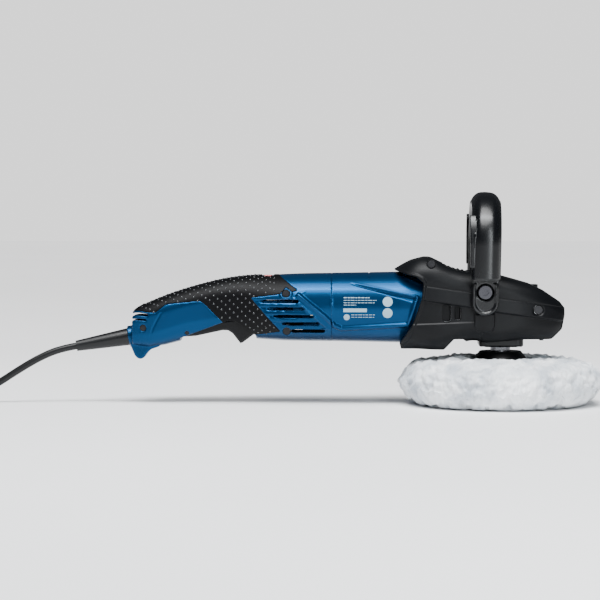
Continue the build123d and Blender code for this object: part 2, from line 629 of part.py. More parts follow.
CORD_PLANE = Plane(
    origin=(-371, 0, 66.7), x_dir=(0, 1, 0),
    z_dir=(-cos(radians(SLEEVE_DROP)), 0, -sin(radians(SLEEVE_DROP))),
)

CAVITY_STATIONS = [*HANDLE_STATIONS[:-1], (SEAM_X + 6, *HANDLE_STATIONS[-1][1:])]    # open at the front
handle_outer = section_loft(HANDLE_STATIONS, ruled=True)
grip_floor = section_loft(HANDLE_STATIONS, GRIP_DEPTH, ruled=True)
handle_inner = section_loft(CAVITY_STATIONS, HANDLE_WALL, HANDLE_WALL, ruled=True)

with BuildPart() as grip_layer:
    add(handle_outer)
    add(grip_floor, mode=Mode.SUBTRACT)
    add(side_slab(GRIP_OUTLINE), mode=Mode.INTERSECT)

with BuildPart() as handle_bosses:
    with BuildSketch(Plane.XZ):
        for x, z, seat, boss_r in HANDLE_SCREWS:
            with Locations((x, z)):
                Circle(boss_r)
        with Locations((TRIGGER_PIVOT)):
            Circle(4.2)
    extrude(amount=WIDE, both=True)
    with Locations((TRIGGER_PIVOT[0], 0, TRIGGER_PIVOT[1])):      # room for the trigger between its bosses
        Box(12, 2 * TRIGGER_HALF + 1, 12, mode=Mode.SUBTRACT)
    with BuildSketch(CORD_PLANE.offset(-30)):                     # saddle under the cord
        with Locations((0, 7)):
            Rectangle(60, 12)
    extrude(amount=8)
    with BuildSketch(CORD_PLANE.offset(-9)):
        Circle(10.8)
    extrude(amount=9)
    add(handle_outer, mode=Mode.INTERSECT)

with BuildPart() as handle_body:
    add(handle_outer)
    add(handle_inner, mode=Mode.SUBTRACT)
    add(handle_bosses.part)
    add(grip_layer.part, mode=Mode.SUBTRACT)
    with BuildSketch(Plane.XZ):
        Polygon(*GUARD_OUTLINE, align=None)
    extrude(amount=11, both=True)
    with BuildSketch(CORD_PLANE.offset(-5)):                      # collar for the bend sleeve
        Circle(10.8)
    extrude(amount=5.6)
    with BuildSketch(Plane.XZ):
        Polygon(*TRIGGER_EDGE, align=None)
    extrude(amount=WIDE, both=True, mode=Mode.SUBTRACT)
    with Locations((-281, 0, 70)):
        Box(75, 2 * TRIGGER_HALF + 1, 30, mode=Mode.SUBTRACT)
    with BuildSketch(Plane.XZ):
        for x, low, high in REAR_SLOTS:
            with Locations((x - 12, (low + high) / 2)):
                Rectangle(24, high - low)
        for row, right in enumerate(GRILLE_RIGHT):
            tip_x, z = -243.5 + 7.3 * row, 103.5 - 7.35 * row
            Polygon((tip_x, z), (tip_x + 9, z - 1.6), (right, z - 1.6), (right, z + 1.6), (tip_x + 9, z + 1.6),
                    align=None)
        for x, z, seat, boss_r in HANDLE_SCREWS:
            with Locations((x, z)):
                Circle(1.6)
        with Locations((TRIGGER_PIVOT)):
            Circle(2.0)
    extrude(amount=WIDE, both=True, mode=Mode.SUBTRACT)
    for x, z, seat, boss_r in HANDLE_SCREWS:
        with BuildSketch(Plane.XZ.offset(seat)):
            with Locations((x, z)):
                Circle(min(boss_r, 3.9))
        extrude(amount=20, mode=Mode.SUBTRACT)
    with BuildSketch(CORD_PLANE.offset(-40)):                     # cord and bend sleeve pass through
        Circle(CORD_R)
    extrude(amount=45, mode=Mode.SUBTRACT)
    for depth, length, r in ((-12, 13, 8.5), (-12, 3, 9.5)):
        with BuildSketch(CORD_PLANE.offset(depth)):
            Circle(r)
        extrude(amount=length, mode=Mode.SUBTRACT)
    with Locations((DIAL[0], 0, 130)):                            # notch for the speed dial
        Box(9, 18, 12, mode=Mode.SUBTRACT)
    with BuildSketch(Plane.XZ.offset(-5)):                        # hole for the lock-on button
        with Locations(LATCH):
            Circle(5.4 + PART_GAP)
    extrude(amount=-40, mode=Mode.SUBTRACT)

for side, keep in SIDES:
    with BuildPart() as handle_shell:
        add(handle_body.part)
        split(bisect_by=Plane.XZ, keep=keep)
    handle_shell.part.label = f"handle_shell_{side}"
    export_step(handle_shell.part, f"parts/handle_shell_{side}.step")

with BuildPart() as grip_trimmed:
    add(grip_layer.part)
    with Locations((DIAL[0], 0, 130)):
        Box(12, 21, 12, mode=Mode.SUBTRACT)
    with BuildSketch(Plane.XZ.offset(-5)):
        with Locations(LATCH):
            Circle(5.4 + 2 * PART_GAP)
    extrude(amount=-40, mode=Mode.SUBTRACT)
    with Locations((-281, 0, 70)):
        Box(75, 2 * TRIGGER_HALF + 1, 30, mode=Mode.SUBTRACT)

for side, keep in SIDES:
    with BuildPart() as soft_grip:
        add(grip_trimmed.part)
        split(bisect_by=Plane.XZ, keep=keep)
    soft_grip.part.label = f"soft_grip_{side}"
    export_step(soft_grip.part, f"parts/soft_grip_{side}.step")

# ---------------------------------------------------------------- controls
with BuildPart() as trigger:
    with BuildSketch(Plane.XZ):
        Polygon(
            (-317, 67.3), (-303.5, 68.1), (-276.7, 73.9), (-271.4, 73.7), (-266.8, 70.8), (-259, 60.7),
            (-256.5, 61.8), (-244.3, 70.9), (-246.5, 77), (-262, 85), (-300, 80), (-317, 76), align=None,
        )
    extrude(amount=TRIGGER_HALF, both=True)
    fillet(trigger.edges().group_by(Axis.Y)[0] + trigger.edges().group_by(Axis.Y)[-1], 1.5)
    with BuildSketch(Plane.XZ):
        with Locations((TRIGGER_PIVOT)):
            Circle(2.0 + RUN_GAP)
    extrude(amount=WIDE, both=True, mode=Mode.SUBTRACT)
trigger.part.label = "trigger"
export_step(trigger.part, "parts/trigger.step")

with BuildPart() as trigger_pin:
    with BuildSketch(Plane.XZ):
        with Locations((TRIGGER_PIVOT)):
            Circle(2.0)
    extrude(amount=18, both=True)
trigger_pin.part.label = "trigger_pin"
export_step(trigger_pin.part, "parts/trigger_pin.step")

with BuildPart() as switch_body:
    with Locations((-279, 0, 103.5)):
        Box(42, 24, 19)
    fillet(switch_body.edges().filter_by(Axis.Z), 2)
    with Locations((-279, 0, 114)):
        Box(30, 16, 2.4)
switch_body.part.label = "switch_body"
export_step(switch_body.part, "parts/switch_body.step")

with BuildPart() as trigger_spring:
    with BuildLine():
        trigger_turns = Helix(pitch=1.9, height=9.8, radius=2.8, center=(-290, 0, 82.8))
    with BuildSketch(Plane(origin=trigger_turns @ 0, z_dir=trigger_turns % 0)):
        Circle(0.4)
    sweep(path=trigger_turns, is_frenet=True)
trigger_spring.part.label = "trigger_spring"
export_step(trigger_spring.part, "parts/trigger_spring.step")

with BuildPart() as lock_on_button:
    with BuildSketch(Plane.XZ.offset(-17)):
        with Locations(LATCH):
            Circle(5.4)
    extrude(amount=-11.4)
    fillet(lock_on_button.faces().sort_by(Axis.Y)[-1].edges(), 1.2)
lock_on_button.part.label = "lock_on_button"
export_step(lock_on_button.part, "parts/lock_on_button.step")

with BuildPart() as speed_dial:
    dial_face = Plane(origin=(DIAL[0] - 3.35, 0, DIAL[1]), x_dir=(0, 1, 0), z_dir=(1, 0, 0))
    with BuildSketch(dial_face):
        Circle(DIAL_R)
        with PolarLocations(DIAL_R, 36):
            Circle(0.5, mode=Mode.SUBTRACT)
        Circle(3 + RUN_GAP, mode=Mode.SUBTRACT)
    extrude(amount=6.7)
speed_dial.part.label = "speed_dial"
export_step(speed_dial.part, "parts/speed_dial.step")

with BuildPart() as speed_potentiometer:
    with BuildSketch(dial_face.offset(-9)):
        Circle(7)
    extrude(amount=8.6)
    with BuildSketch(dial_face.offset(-1)):
        Circle(3)
    extrude(amount=8.6)
speed_potentiometer.part.label = "speed_potentiometer"
export_step(speed_potentiometer.part, "parts/speed_potentiometer.step")

with BuildPart() as electronics_module:
    with Locations((-324, 0, 88)):
        Box(32, 26, 16)
    with Locations([(-329 + 5 * k, 0, 97.5) for k in range(4)]):  # heat sink fins
        Box(2, 20, 3)
electronics_module.part.label = "electronics_module"
export_step(electronics_module.part, "parts/electronics_module.step")

with BuildPart() as spindle_lock_pin:
    with BuildSketch(Plane.XY.offset(89.2)):
        with Locations((LAY_X, LOCK_Y)):
            Circle(1.5)
    extrude(amount=112.8 - 89.2)
spindle_lock_pin.part.label = "spindle_lock_pin"
export_step(spindle_lock_pin.part, "parts/spindle_lock_pin.step")

with BuildPart() as spindle_lock_button:
    with BuildSketch(Plane.XY.offset(112.8)):
        with Locations((LAY_X, LOCK_Y)):
            Circle(6.0)
    extrude(amount=6.4)
    fillet(spindle_lock_button.faces().sort_by(Axis.Z)[-1].edges(), 1.0)
spindle_lock_button.part.label = "spindle_lock_button"
export_step(spindle_lock_button.part, "parts/spindle_lock_button.step")

with BuildPart() as spindle_lock_spring:
    with BuildLine():
        lock_turns = Helix(pitch=1.8, height=8.6, radius=2.3, center=(LAY_X, LOCK_Y, 103.6))
    with BuildSketch(Plane(origin=lock_turns @ 0, z_dir=lock_turns % 0)):
        Circle(0.3)
    sweep(path=lock_turns, is_frenet=True)
spindle_lock_spring.part.label = "spindle_lock_spring"
export_step(spindle_lock_spring.part, "parts/spindle_lock_spring.step")

# ---------------------------------------------------------------- bow handle
ARM_Y, ARM_THICK, ARM_WIDE = 52.5, 13.0, 24.0
BOW_TOP = 88.4                                # centre of the top bar over the bolts
GRIP_START = 12.5                             # where the bow's grip ends over the bolts
GRIP_THICK, GRIP_WIDE = 19.0, 29.0
BOW_BEND = 42.0
BOW_PLATE = (42.4, 50.0)                      # inner and outer face of the clamped ends
lean = radians(BOW_LEAN)
BOW_PLANE = Plane(origin=(BOW_BOLT[0], 0, BOW_BOLT[1]), x_dir=(0, 1, 0), z_dir=(cos(lean), 0, -sin(lean)))

with BuildPart() as bow_frame:
    with BuildLine(BOW_PLANE):
        bow_path = FilletPolyline(
            (-ARM_Y, 14), (-ARM_Y, BOW_TOP), (ARM_Y, BOW_TOP), (ARM_Y, 14), radius=BOW_BEND
        )
    with BuildSketch(Plane(origin=bow_path @ 0, x_dir=(0, 1, 0), z_dir=bow_path % 0)):
        RectangleRounded(ARM_THICK, ARM_WIDE, 5)
    sweep(path=bow_path)
    for side in (1, -1):
        with BuildSketch(Plane.XZ.offset(side * BOW_PLATE[0])):
            with Locations(BOW_BOLT):
                with Locations((0, -10)):
                    Circle(13.0)
                with Locations((0.2, 4)):
                    Rectangle(26, 28)
        extrude(amount=side * (BOW_PLATE[1] - BOW_PLATE[0]))
        with Locations((BOW_BOLT[0] - GRIP_WIDE / 2 + 3, side * 55, 163)):    # rib down the rear edge
            Box(7, 6, 50)
        with BuildSketch(Plane.XZ.offset(side * 40)):
            with Locations(BOW_BOLT):
                Circle(4.08)
        extrude(amount=side * 24, mode=Mode.SUBTRACT)
        with BuildSketch(Plane.XZ.offset(side * 46.5)):
            with Locations(BOW_BOLT):
                Circle(8.2)
        extrude(amount=side * 20, mode=Mode.SUBTRACT)
bow_frame.part.label = "bow_frame"
export_step(bow_frame.part, "parts/bow_frame.step")

with BuildPart() as bow_grip:
    with BuildLine(BOW_PLANE):
        grip_path = FilletPolyline(
            (-ARM_Y, GRIP_START), (-ARM_Y, BOW_TOP), (ARM_Y, BOW_TOP), (ARM_Y, GRIP_START), radius=BOW_BEND
        )
    with BuildSketch(Plane(origin=grip_path @ 0, x_dir=(0, 1, 0), z_dir=grip_path % 0)):
        RectangleRounded(GRIP_THICK, GRIP_WIDE, 9.3)
    sweep(path=grip_path)
    add(bow_frame.part, mode=Mode.SUBTRACT)
bow_grip.part.label = "bow_grip"
export_step(bow_grip.part, "parts/bow_grip.step")

with BuildPart() as bow_washers:
    for side in (1, -1):
        with BuildSketch(Plane.XZ.offset(side * 41.3)):
            with Locations(BOW_BOLT):
                Circle(9)
                Circle(4.2, mode=Mode.SUBTRACT)
        extrude(amount=side * 1.0)
bow_washers.part.label = "bow_washers"
export_step(bow_washers.part, "parts/bow_washers.step")

with BuildPart() as bow_bolts:
    for side in (1, -1):
        with BuildSketch(Plane.XZ.offset(side * 24)):
            with Locations(BOW_BOLT):
                Circle(4.0)
        extrude(amount=side * 22.6)
        with BuildSketch(Plane.XZ.offset(side * 46.6)):
            with Locations(BOW_BOLT):
                Circle(6.5)
        extrude(amount=side * 5.4)
        with BuildSketch(Plane.XZ.offset(side * 49)):             # hexagon socket
            with Locations(BOW_BOLT):
                RegularPolygon(3.4, 6)
        extrude(amount=side * 3, mode=Mode.SUBTRACT)
bow_bolts.part.label = "bow_bolts"
export_step(bow_bolts.part, "parts/bow_bolts.step")

# ---------------------------------------------------------------- pad and bonnet
BONNET_R, BONNET_HIGH = 101.0, 42.5
PAD_R, PAD_LOW, PAD_HIGH = 85.0, 24.0, 38.0

with BuildPart() as pad_hub:
    with BuildSketch(Plane.XZ):
        Polygon(
            (0, 34), (30, 34), (30, 38), (25.6, 47), (20.7, 53.1), (6.95, 53.1), (6.95, 40.4), (0, 40.4),
            align=None,
        )
    revolve(axis=Axis.Z)
pad_hub.part.label = "pad_hub"
export_step(pad_hub.part, "parts/pad_hub.step")

with BuildPart() as backing_pad:
    with BuildSketch(Plane.XY.offset(PAD_LOW)):
        Circle(PAD_R)
    extrude(amount=PAD_HIGH - PAD_LOW)
    with BuildSketch(Plane.XY.offset(34)):
        Circle(30)
    extrude(amount=PAD_HIGH - 34, mode=Mode.SUBTRACT)
backing_pad.part.label = "backing_pad"
export_step(backing_pad.part, "parts/backing_pad.step")

with BuildPart() as polishing_bonnet:
    with BuildSketch(Plane.XZ):
        with BuildLine():
            base = Line((0, 0), (86, 0))
            rim = ThreePointArc(base @ 1, (BONNET_R, BONNET_HIGH / 2), (86, BONNET_HIGH))
            Polyline(rim @ 1, (34, BONNET_HIGH), (34, PAD_HIGH), (PAD_R, PAD_HIGH), (PAD_R, PAD_LOW),
                     (0, PAD_LOW), base @ 0)
        make_face()
    revolve(axis=Axis.Z)
polishing_bonnet.part.label = "polishing_bonnet"
export_step(polishing_bonnet.part, "parts/polishing_bonnet.step")

# ---------------------------------------------------------------- cord, sleeve, clamp and plug
with BuildPart() as bend_sleeve:
    with BuildSketch(Plane(origin=CORD_PLANE.origin, x_dir=(0, 1, 0), z_dir=CORD_PLANE.y_dir)):
        Polygon(
            (CORD_R, 10.8), (9.4, 10.8), (9.4, 9.2), (8.4, 9.2), (8.4, -0.7), (8.7, -0.7),
            (5.35, -SLEEVE_LENGTH), (CORD_R, -SLEEVE_LENGTH), align=None,
        )
    revolve(axis=Axis(CORD_PLANE.origin, CORD_PLANE.z_dir))
bend_sleeve.part.label = "bend_sleeve"
export_step(bend_sleeve.part, "parts/bend_sleeve.step")

with BuildPart() as cord_lead_in:
    with BuildSketch(CORD_PLANE.offset(-38)):
        Circle(CORD_R)
    extrude(amount=38 + SLEEVE_LENGTH)
cord_lead_in.part.label = "cord_lead_in"
export_step(cord_lead_in.part, "parts/cord_lead_in.step")

with BuildPart() as cord_clamp:
    with BuildSketch(CORD_PLANE.offset(-30)):
        with Locations((0, -3)):
            Rectangle(25, 6)
        Circle(CORD_R, mode=Mode.SUBTRACT)
        with Locations((0, 3)):
            Rectangle(30, 6, mode=Mode.SUBTRACT)
    extrude(amount=8)
    with BuildSketch(Plane(origin=CORD_PLANE.origin - CORD_PLANE.z_dir * 26, x_dir=(0, 1, 0),
                           z_dir=CORD_PLANE.y_dir).offset(-8)):
        with Locations((-8.5, 0), (8.5, 0)):
            Circle(1.6)
    extrude(amount=9, mode=Mode.SUBTRACT)
cord_clamp.part.label = "cord_clamp"
export_step(cord_clamp.part, "parts/cord_clamp.step")

exit_point = CORD_PLANE.origin + CORD_PLANE.z_dir * SLEEVE_LENGTH
first_bend = exit_point + CORD_PLANE.z_dir * 18
CORD_ROUTE = [
    (exit_point.X, 0, exit_point.Z), (first_bend.X, 0, first_bend.Z), (-463, -0.6, 44.6),
    (-482.5, -0.4, 33.0), (-503, 0.6, 19.6), (-521.5, 2.2, 9.4), (-542, 4.0, 3.7), (-562, 5.0, 3.7),
]
cord_radii = corner_radii(CORD_ROUTE)
print("cord arc radii:", [round(r, 1) for r in cord_radii])

with BuildPart() as power_cord:
    with BuildLine():
        cord_path = FilletPolyline(*CORD_ROUTE, radius=cord_radii)
    with BuildSketch(Plane(origin=cord_path @ 0, z_dir=cord_path % 0)):
        Circle(CORD_R)
    sweep(path=cord_path)
power_cord.part.label = "power_cord"
export_step(power_cord.part, "parts/power_cord.step")
print("cord volume over section times length:", power_cord.part.volume / (pi * CORD_R**2 * cord_path.length))

with BuildPart() as cord_coil:
    with BuildSketch(Plane.XY.offset(0.1)):
        with Locations(COIL_AT):
            Circle(COIL_MEAN_R + COIL_SIDE / 2)
            Circle(COIL_MEAN_R - COIL_SIDE / 2, mode=Mode.SUBTRACT)
    extrude(amount=COIL_SIDE)
    fillet(cord_coil.edges().filter_by(GeomType.CIRCLE), 4)
cord_coil.part.label = "cord_coil"
export_step(cord_coil.part, "parts/cord_coil.step")

PLUG_PLANE = Plane(
    origin=(COIL_AT[0] + 8, COIL_AT[1] - 27, COIL_SIDE + 0.1 + 8.5), x_dir=(0, 1, 0), z_dir=(-1, 0, 0)
)
PLUG_LENGTH, PIN_LENGTH, PIN_R = 41.0, 19.0, 2.4

with BuildPart() as plug_body:
    with BuildSketch(PLUG_PLANE):
        RectangleRounded(35, 17, 7)
    extrude(amount=PLUG_LENGTH)
    fillet(plug_body.faces().sort_by(Axis.X)[0].edges(), 1.5)
    with BuildSketch(PLUG_PLANE.offset(-16)):
        Circle(5)
    with BuildSketch(PLUG_PLANE):
        Circle(7)
    loft()
plug_body.part.label = "plug_body"
export_step(plug_body.part, "parts/plug_body.step")

with BuildPart() as plug_pins:
    with BuildSketch(PLUG_PLANE.offset(PLUG_LENGTH)):
        with Locations((-9.5, 0), (9.5, 0)):
            Circle(PIN_R)
    extrude(amount=PIN_LENGTH)
plug_pins.part.label = "plug_pins"
export_step(plug_pins.part, "parts/plug_pins.step")

# ---------------------------------------------------------------- screws
with BuildPart() as handle_screws:
    for x, z, seat, boss_r in HANDLE_SCREWS:
        with BuildSketch(Plane.XZ.offset(seat)):
            with Locations((x, z)):
                Circle(min(boss_r, 3.9) - 0.3)
        extrude(amount=2.6)
        with BuildSketch(Plane.XZ.offset(-10)):
            with Locations((x, z)):
                Circle(1.5)
        extrude(amount=seat + 10)
handle_screws.part.label = "handle_screws"
export_step(handle_screws.part, "parts/handle_screws.step")

with BuildPart() as gear_cover_screws:
    with BuildSketch(Plane.XZ.offset(HUMP_SCREW[2])):
        with Locations(HUMP_SCREW[:2]):
            Circle(3.9)
    extrude(amount=2.6)
    with BuildSketch(Plane.XZ.offset(-16)):
        with Locations(HUMP_SCREW[:2]):
            Circle(1.5)
    extrude(amount=HUMP_SCREW[2] + 16)
    for side in (1, -1):
        with BuildSketch(Plane.XZ.offset(side * NOSE_SCREW[2])):
            with Locations(NOSE_SCREW[:2]):
                Circle(4.2)
        extrude(amount=side * 2.0)
        with BuildSketch(Plane.XZ.offset(side * 23)):
            with Locations(NOSE_SCREW[:2]):
                Circle(1.9)
        extrude(amount=side * (NOSE_SCREW[2] - 23))
gear_cover_screws.part.label = "gear_cover_screws"
export_step(gear_cover_screws.part, "parts/gear_cover_screws.step")

with BuildPart() as gear_housing_screws:
    with BuildSketch(ACROSS.offset(FLANGE_X)):
        with Locations(*[(y, z - MOTOR_Z) for y, z in CASE_SCREWS]):
            Circle(3.3)
    extrude(amount=-2.8)
    with BuildSketch(ACROSS.offset(FLANGE_X)):
        with Locations(*[(y, z - MOTOR_Z) for y, z in CASE_SCREWS]):
            Circle(2.0)
    extrude(amount=19)
gear_housing_screws.part.label = "gear_housing_screws"
export_step(gear_housing_screws.part, "parts/gear_housing_screws.step")

with BuildPart() as bottom_screws:
    for points, seat, head_r, head, length in (
        (FLANGE_SCREWS, 57.9 + 2.6, 2.9, 2.0, 9.5),
        (PLATE_SCREWS, PLATE_Z, 2.2, 1.8, 12.0),
    ):
        with BuildSketch(Plane.XY.offset(seat)):
            with Locations(*points):
                Circle(head_r)
        extrude(amount=-head)
        with BuildSketch(Plane.XY.offset(seat)):
            with Locations(*points):
                Circle(1.5)
        extrude(amount=length)
bottom_screws.part.label = "bottom_screws"
export_step(bottom_screws.part, "parts/bottom_screws.step")

with BuildPart() as clamp_screws:
    clamp_top = Plane(
        origin=CORD_PLANE.origin - CORD_PLANE.z_dir * 26, x_dir=(0, 1, 0), z_dir=CORD_PLANE.y_dir
    ).offset(-6)
    with BuildSketch(clamp_top.offset(-1.8)):
        with Locations((-8.5, 0), (8.5, 0)):
            Circle(2.8)
    extrude(amount=1.8)
    with BuildSketch(clamp_top):
        with Locations((-8.5, 0), (8.5, 0)):
            Circle(1.5)
    extrude(amount=6)
clamp_screws.part.label = "clamp_screws"
export_step(clamp_screws.part, "parts/clamp_screws.step")
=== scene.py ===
import bpy, bmesh, json, math
import numpy as np
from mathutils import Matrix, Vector, noise
from mathutils.bvhtree import BVHTree


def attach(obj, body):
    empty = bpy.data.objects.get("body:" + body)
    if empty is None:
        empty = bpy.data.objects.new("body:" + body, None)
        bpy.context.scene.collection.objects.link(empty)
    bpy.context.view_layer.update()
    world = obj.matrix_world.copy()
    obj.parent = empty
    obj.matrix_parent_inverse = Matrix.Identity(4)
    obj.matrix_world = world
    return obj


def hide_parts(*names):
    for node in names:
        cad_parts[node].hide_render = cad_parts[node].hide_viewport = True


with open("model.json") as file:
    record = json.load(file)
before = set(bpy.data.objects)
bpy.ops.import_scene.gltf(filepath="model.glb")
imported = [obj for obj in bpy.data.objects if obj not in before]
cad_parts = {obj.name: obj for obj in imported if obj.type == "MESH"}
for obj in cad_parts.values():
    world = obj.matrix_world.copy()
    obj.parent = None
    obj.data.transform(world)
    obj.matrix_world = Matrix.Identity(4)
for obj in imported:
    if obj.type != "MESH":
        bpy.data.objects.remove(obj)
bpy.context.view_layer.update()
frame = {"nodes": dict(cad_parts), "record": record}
MM = 0.001
nodes = frame["nodes"]

# ------------------------------------------------------------ camera, light and floor
AIM = Vector((-0.200, 0.0, 0.1035))
AZIMUTH, ELEVATION, DISTANCE, VIEW_WIDTH = math.radians(1.6), math.radians(2.9), 2.5, 0.6
camera_data = bpy.data.cameras.new("camera")
camera = bpy.data.objects.new("camera", camera_data)
bpy.context.scene.collection.objects.link(camera)
camera.location = AIM + DISTANCE * Vector((
    math.sin(AZIMUTH) * math.cos(ELEVATION), -math.cos(AZIMUTH) * math.cos(ELEVATION), math.sin(ELEVATION)))
camera.rotation_euler = (AIM - camera.location).to_track_quat("-Z", "Y").to_euler()
camera_data.sensor_width = 36.0
camera_data.lens = 36.0 * DISTANCE / VIEW_WIDTH
bpy.context.scene.camera = camera


def area_light(name, place, target, size, power, colour):
    data = bpy.data.lights.new(name, "AREA")
    data.shape, data.size, data.size_y, data.energy, data.color = "RECTANGLE", size[0], size[1], power, colour
    light = bpy.data.objects.new(name, data)
    bpy.context.scene.collection.objects.link(light)
    light.location = place
    light.rotation_euler = (Vector(target) - Vector(place)).to_track_quat("-Z", "Y").to_euler()


area_light("key", (-0.25, -0.85, 1.85), (-0.15, 0, 0.1), (1.7, 0.3), 42, (0.93, 0.97, 1.0))
area_light("front_strip", (0.45, -1.6, 0.55), (-0.02, 0, 0.13), (0.22, 1.3), 16, (0.92, 0.97, 1.0))
sun_data = bpy.data.lights.new("dome_sun", "SUN")
sun_data.energy, sun_data.angle, sun_data.color = 5.6, math.radians(46), (1.0, 1.0, 1.0)
sun = bpy.data.objects.new("dome_sun", sun_data)
bpy.context.scene.collection.objects.link(sun)
sun.rotation_euler = Vector((0.12, 0.42, -1.0)).to_track_quat("-Z", "Y").to_euler()
world = bpy.data.worlds.new("studio")
bpy.context.scene.world = world
world.use_nodes = True
sky = world.node_tree
seen, lit = sky.nodes.new("ShaderNodeBackground"), sky.nodes.new("ShaderNodeBackground")
both = sky.nodes.new("ShaderNodeMixShader")
seen.inputs["Color"].default_value, seen.inputs["Strength"].default_value = (1.0, 1.0, 1.0, 1), 1.5
lit.inputs["Color"].default_value, lit.inputs["Strength"].default_value = (0.90, 0.94, 1.0, 1), 0.10
rays = sky.nodes.new("ShaderNodeLightPath")
sky.links.new(rays.outputs["Is Camera Ray"], both.inputs[0])
sky.links.new(lit.outputs[0], both.inputs[1])
sky.links.new(seen.outputs[0], both.inputs[2])
sky.links.new(both.outputs[0], sky.nodes["World Output"].inputs["Surface"])


# ------------------------------------------------------------ materials
def noise_node(tree, place, scale, detail, distortion=0.0):
    node = tree.nodes.new("ShaderNodeTexNoise")
    node.inputs["Scale"].default_value = scale
    node.inputs["Detail"].default_value = detail
    node.inputs["Distortion"].default_value = distortion
    tree.links.new(place.outputs["Object"], node.inputs["Vector"])
    return node


def material(name, colour, rough=0.4, metal=0.0, grain=900.0, grain_depth=0.05, vary=0.12, rough_vary=0.1,
             coat=0.0, edge_wear_and_highlight=0.0, large=18.0, gleam=0.5):
    """Moulded or machined surface: broad drift of colour and roughness, fine grain in bump, and convex edges lightened
    for wear, which on the blue housing is also a painted highlight along its ridges.
    """
    made = bpy.data.materials.new(name)
    made.use_nodes = True
    tree = made.node_tree
    shader = tree.nodes["Principled BSDF"]
    shader.inputs["Metallic"].default_value = metal
    shader.inputs["Specular IOR Level"].default_value = gleam
    shader.inputs["Coat Weight"].default_value = coat
    shader.inputs["Coat Roughness"].default_value = 0.12
    place = tree.nodes.new("ShaderNodeTexCoord")
    broad, fine = noise_node(tree, place, large, 3.0), noise_node(tree, place, grain, 2.0)
    ramp = tree.nodes.new("ShaderNodeValToRGB")
    ramp.color_ramp.elements[0].position, ramp.color_ramp.elements[1].position = 0.3, 0.7
    ramp.color_ramp.elements[0].color = (*[c * (1 - vary) for c in colour], 1)
    ramp.color_ramp.elements[1].color = (*[min(c * (1 + vary), 1) for c in colour], 1)
    tree.links.new(broad.outputs["Fac"], ramp.inputs["Fac"])
    colour_out = ramp.outputs["Color"]
    # lighter colour on convex edges: wear on most looks, and on the blue housing a painted highlight where its ridges
    # catch the light
    if edge_wear_and_highlight:
        geometry = tree.nodes.new("ShaderNodeNewGeometry")
        wear_and_highlight_edge = tree.nodes.new("ShaderNodeMapRange")
        wear_and_highlight_edge.inputs["From Min"].default_value, wear_and_highlight_edge.inputs["From Max"].default_value = 0.52, 0.62
        wear_and_highlight_edge.inputs["To Max"].default_value = edge_wear_and_highlight
        tree.links.new(geometry.outputs["Pointiness"], wear_and_highlight_edge.inputs["Value"])
        mix = tree.nodes.new("ShaderNodeMix")
        mix.data_type = "RGBA"
        mix.inputs["B"].default_value = (*[min(c * 1.9 + 0.06, 1) for c in colour], 1)
        tree.links.new(wear_and_highlight_edge.outputs["Result"], mix.inputs["Factor"])
        tree.links.new(colour_out, mix.inputs["A"])
        colour_out = mix.outputs["Result"]
    tree.links.new(colour_out, shader.inputs["Base Color"])
    spread = tree.nodes.new("ShaderNodeMapRange")
    spread.inputs["To Min"].default_value = max(rough - rough_vary, 0.03)
    spread.inputs["To Max"].default_value = min(rough + rough_vary, 1.0)
    tree.links.new(broad.outputs["Fac"], spread.inputs["Value"])
    tree.links.new(spread.outputs["Result"], shader.inputs["Roughness"])
    bump = tree.nodes.new("ShaderNodeBump")
    bump.inputs["Strength"].default_value = grain_depth
    bump.inputs["Distance"].default_value = 0.0004
    tree.links.new(fine.outputs["Fac"], bump.inputs["Height"])
    tree.links.new(bump.outputs["Normal"], shader.inputs["Normal"])
    return made


